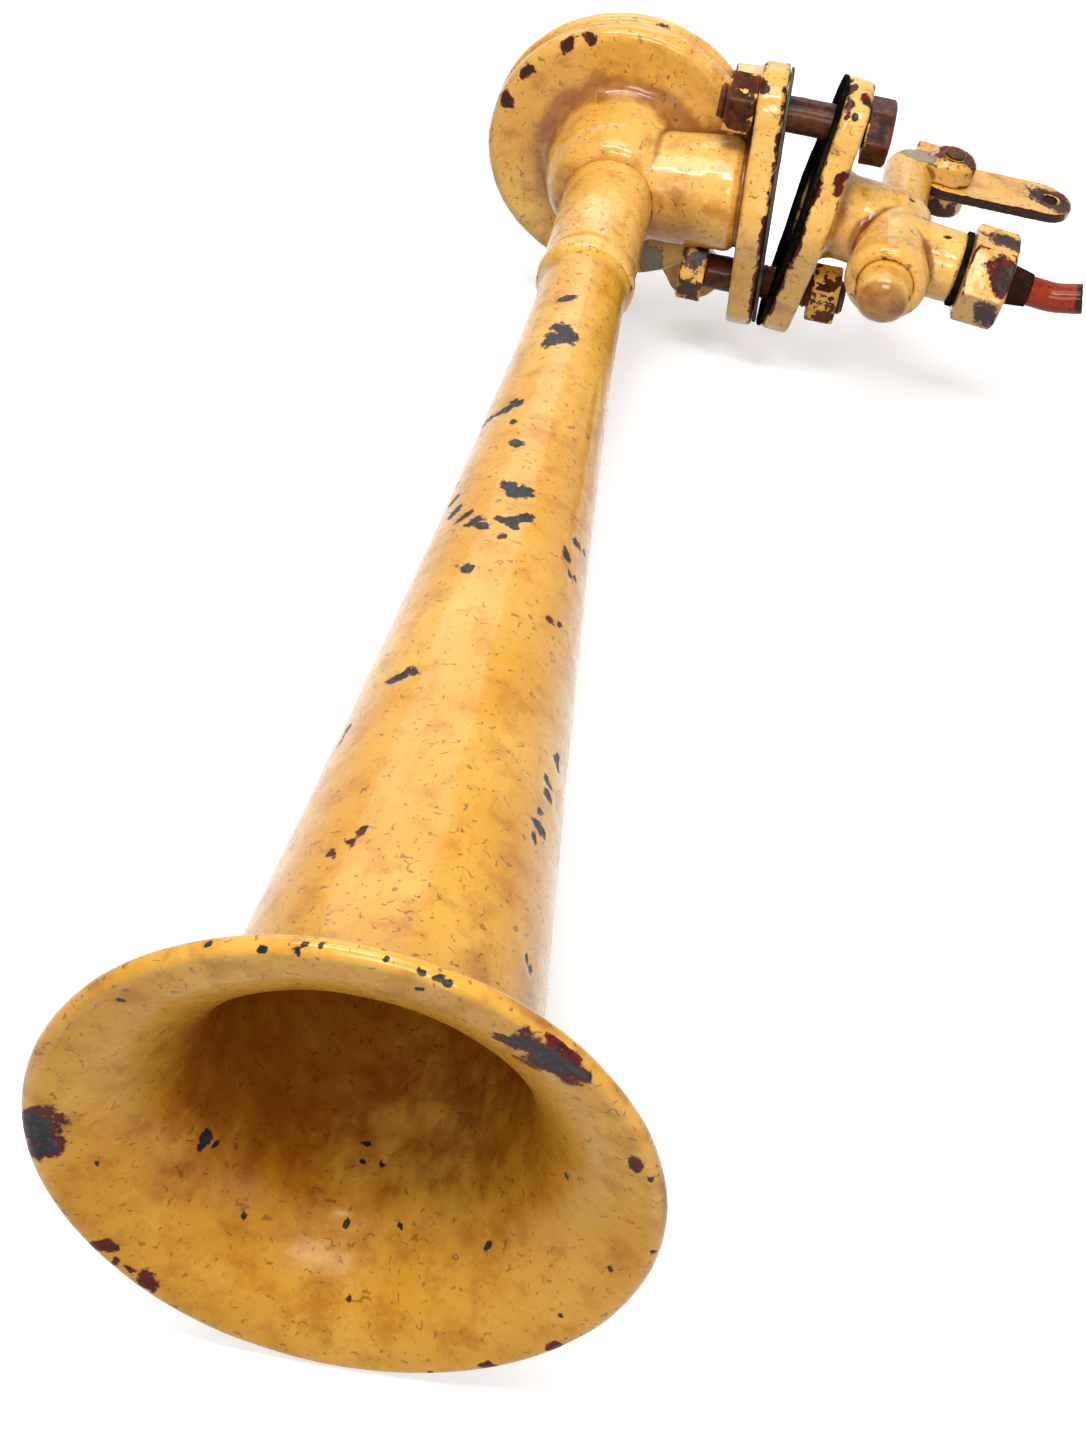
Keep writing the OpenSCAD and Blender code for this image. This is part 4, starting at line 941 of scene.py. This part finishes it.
def add_dirt_and_shade(skin, node, spacing_mm):
    """Darkens the hollows of a casting, the lower part of the head's face and the end cap's front as painted
    shade, and browns the lever as dirt.
    """
    normals = skin.normals()
    # Darker in hollows: painted shade
    hollow = -skin.bend(HOLLOW_SHADE_REACH_MM, spacing_mm)
    dirt_and_shade = HOLLOW_SHADE * np.clip(HOLLOW_GAIN * hollow - HOLLOW_LEAST, 0, 1)
    x, _, z = skin.places.T / MM
    if node == "head_casting":
        # The head's face, turned to the front, darkens towards the hub and downwards: painted shade
        face = np.clip(-normals[:, 1], 0, 1) * np.clip((HEAD_UNSHADED_R - np.hypot(x, z)) / HEAD_R_RUN, 0, 1)
        dirt_and_shade = np.maximum(dirt_and_shade, HEAD_FACE_SHADE * face * np.clip((HEAD_UNSHADED_Z - z) / HEAD_Z_RUN, 0, 1))
    # The end cap is darker on its front side: painted shade
    if node == "end_cap":
        dirt_and_shade = np.maximum(dirt_and_shade, CAP_FRONT_SHADE * front_share(normals, 0.3, 0.5))
    if node == "lever":
        dirt_and_shade = np.maximum(dirt_and_shade, LEVER_DIRT)
    skin.attribute("dirt_and_shade", dirt_and_shade)


def worn_fields(skin, node, edge):
    """Paint lost by a piece's shape: the lever's front side drawn bare as painted shade, rubbed nut edges and
    rubbed joint edges.
    """
    if node == "union_nut":
        return {"primer": edge * (NUT_RUB + wave_height(skin.places, NUT_WAVES))}
    # The lever's front side is drawn as bare metal: painted shade
    if node == "lever":
        return {"chip": LEVER_FRONT_SHADE * front_share(skin.normals(), 0.35, 0.3)}
    if node in JOINT_FACES:
        point, lean = JOINT_FACES[node]
        lean = math.radians(lean)
        level = (skin.places / MM - np.array(point)) @ np.array([math.cos(lean), 0, -math.sin(lean)])
        near = np.clip(1.3 - np.abs(level) / JOINT_EDGE_MM, 0, 1) * np.clip(edge * 3, 0, 1)
        patches = JOINT_RUB + wave_height(skin.places, JOINT_WAVES)
        return {"primer": near * patches, "chip": near * (patches - JOINT_LESS)}
    return {}


# The flange bolts: sizes in mm, tilt in degrees, middle of each grip, and each thread's ends along the bolt
BOLT_R, BOLT_PITCH, BOLT_TILT = 6.0, 1.75, 5.6
BOLT_MID = {"upper": (50.01, -36.0, 31.9), "lower": (48.01, -36.0, -31.57)}
THREAD = {"upper_bolt": (-40.0, -10.0), "lower_bolt": (5.0, 60.0)}
THREAD_DEPTH = 0.62
# How far inside and outside the shank's radius the groove acts, with the run of its fading
THREAD_IN, THREAD_OUT, THREAD_FADE = 1.0, 0.4, 0.3
# How far outside the shank's radius a hexagon's paint begins, with the run to its full share
HEX_FROM, HEX_RUN = 0.8, 0.6


def cut_thread(skin, node):
    """Cuts a helical groove into a bolt's threaded end and marks a hexagon as able to hold paint."""
    tilt = math.radians(BOLT_TILT)
    along = np.array([math.cos(tilt), 0, -math.sin(tilt)])
    upward = np.array([math.sin(tilt), 0, math.cos(tilt)])
    offset = skin.places / MM - np.array(BOLT_MID[node.split("_")[0]])
    u = offset @ along
    flat = np.stack([offset[:, 1], offset @ upward], 1)
    r = np.linalg.norm(flat, axis=1)
    angle = np.arctan2(flat[:, 1], flat[:, 0])
    if node in THREAD:
        low, high = THREAD[node]
        on_shank = np.clip((BOLT_R + THREAD_OUT - r) / THREAD_FADE, 0, 1)
        on_shank *= np.clip((r - BOLT_R + THREAD_IN) / THREAD_FADE, 0, 1)
        in_zone = np.clip(u - low, 0, 1) * np.clip(high - u, 0, 1)
        phase = u / BOLT_PITCH - angle / (2 * math.pi)
        groove = np.abs(phase - np.round(phase)) * 2
        depth = THREAD_DEPTH * (1 - groove) * on_shank * in_zone
        radial = (flat[:, :1] * np.array([0, 1, 0]) + flat[:, 1:] * upward) / np.maximum(r, 1e-6)[:, None]
        skin.places -= radial * (depth * MM)[:, None]
    skin.attribute("coat", np.clip((r - BOLT_R - HEX_FROM) / HEX_RUN, 0, 1))


def make_rusty():
    for node, (voxel, soften, share) in RUSTY.items():
        skin = voxel_skin(node, voxel, soften)
        skin.swell(RUST_WAVES)
        add_wear(skin, RUST_REACH_MM, voxel)
        if "bolt" in node or "nut" in node:
            cut_thread(skin, node)
        else:
            skin.attribute("coat", np.ones(len(skin.places)))
        finish_piece(skin, node, rust_material("rust_" + node, share))


def make_soft(black, grey, dark):
    for node, (voxel, soften) in SOFT.items():
        skin = voxel_skin(node, voxel, soften)
        skin.swell(SOFT_WAVES, shift_mm=-SOFT_IN_MM)
        material = {"horn_gasket": grey, "tube_nipple": dark}.get(node, black)
        finish_piece(skin, node, material)


# Darkening towards the tube's open end: where it begins and the run of its growth in metres, and its most
TUBE_END, TUBE_RUN, TUBE_MOST = 0.0015, 0.005, 0.8


def make_tube(material):
    """The supply tube, with a dark open end."""
    skin = voxel_skin("supply_tube", *TUBE)
    skin.swell(TUBE_WAVES)
    mount = MOUNTS["supply_end"]
    end = (skin.places - np.array(mount["pos_m"])) @ np.array(mount["axis"])
    skin.attribute("chip", np.clip((end + TUBE_END) / TUBE_RUN, 0, TUBE_MOST))
    finish_piece(skin, "supply_tube", material)


INSIDE_BRASS = ("throat_nozzle", "valve_seat", "valve_disc")
INSIDE_STEEL = ("diaphragm", "valve_stem")
INSIDE_RUBBER = ("front_gasket", "rear_gasket", "disc_facing", "stem_packing")
# Pieces whose rims show between the head's halves and are painted over, and the radius where a rim begins
PAINTED_RIMS, RIM_R_MM = ("diaphragm", "front_gasket", "rear_gasket"), 40.0


def make_spring(material):
    """The return spring, drawn again as a skin with a mesh of its own; the real spring shortens towards its end at
    the cap as the valve opens.
    """
    skin = voxel_skin("return_spring", *SPRING)
    spring = finish_piece(skin, "return_spring", material)
    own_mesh(spring)


def dress_inside(black, paint):
    """Gives the pieces inside their materials; all but the spring keep their CAD shape."""
    brass = plain_metal("brass_dull", BRASS, 0.4, BRASS_DARK)
    steel = plain_metal("steel_dull", STEEL, 0.42, STEEL_DARK)
    make_spring(steel)
    for nodes, material in ((INSIDE_BRASS, brass), (INSIDE_STEEL, steel), (INSIDE_RUBBER, black)):
        for node in nodes:
            mesh = frame["nodes"][node].data
            mesh.materials.clear()
            mesh.materials.append(material)
            if node in PAINTED_RIMS:
                mesh.materials.append(paint)
                for face in mesh.polygons:
                    outside = math.hypot(face.center.x, face.center.z) > RIM_R_MM * MM
                    face.material_index = int(outside and abs(face.normal.y) < 0.5)


make_stage()
ochre = paint_material("ochre_paint", BELL_GLOSS, OCHRE, OCHRE_PALE, BARE_METAL, BARE_GREY)
ochre_cast = paint_material("ochre_cast", CAST_GLOSS, OCHRE_THICK, OCHRE_CREAM, BARE_BROWN, BARE_MAROON)
black_rubber = rubber_material("black_rubber", BLACK, DUST, 0.2)
grey_fibre = rubber_material("grey_fibre", GASKET_GREY, GASKET_DARK, 0.7)
dark_nipple = rubber_material("dark_nipple", NIPPLE, NIPPLE_WARM, 0.6)
make_bell(ochre)
make_painted(ochre_cast)
make_rusty()
make_soft(black_rubber, grey_fibre, dark_nipple)
make_tube(copper_material())
dress_inside(black_rubber, ochre_cast)

bpy.context.scene.view_settings.view_transform = "Standard"
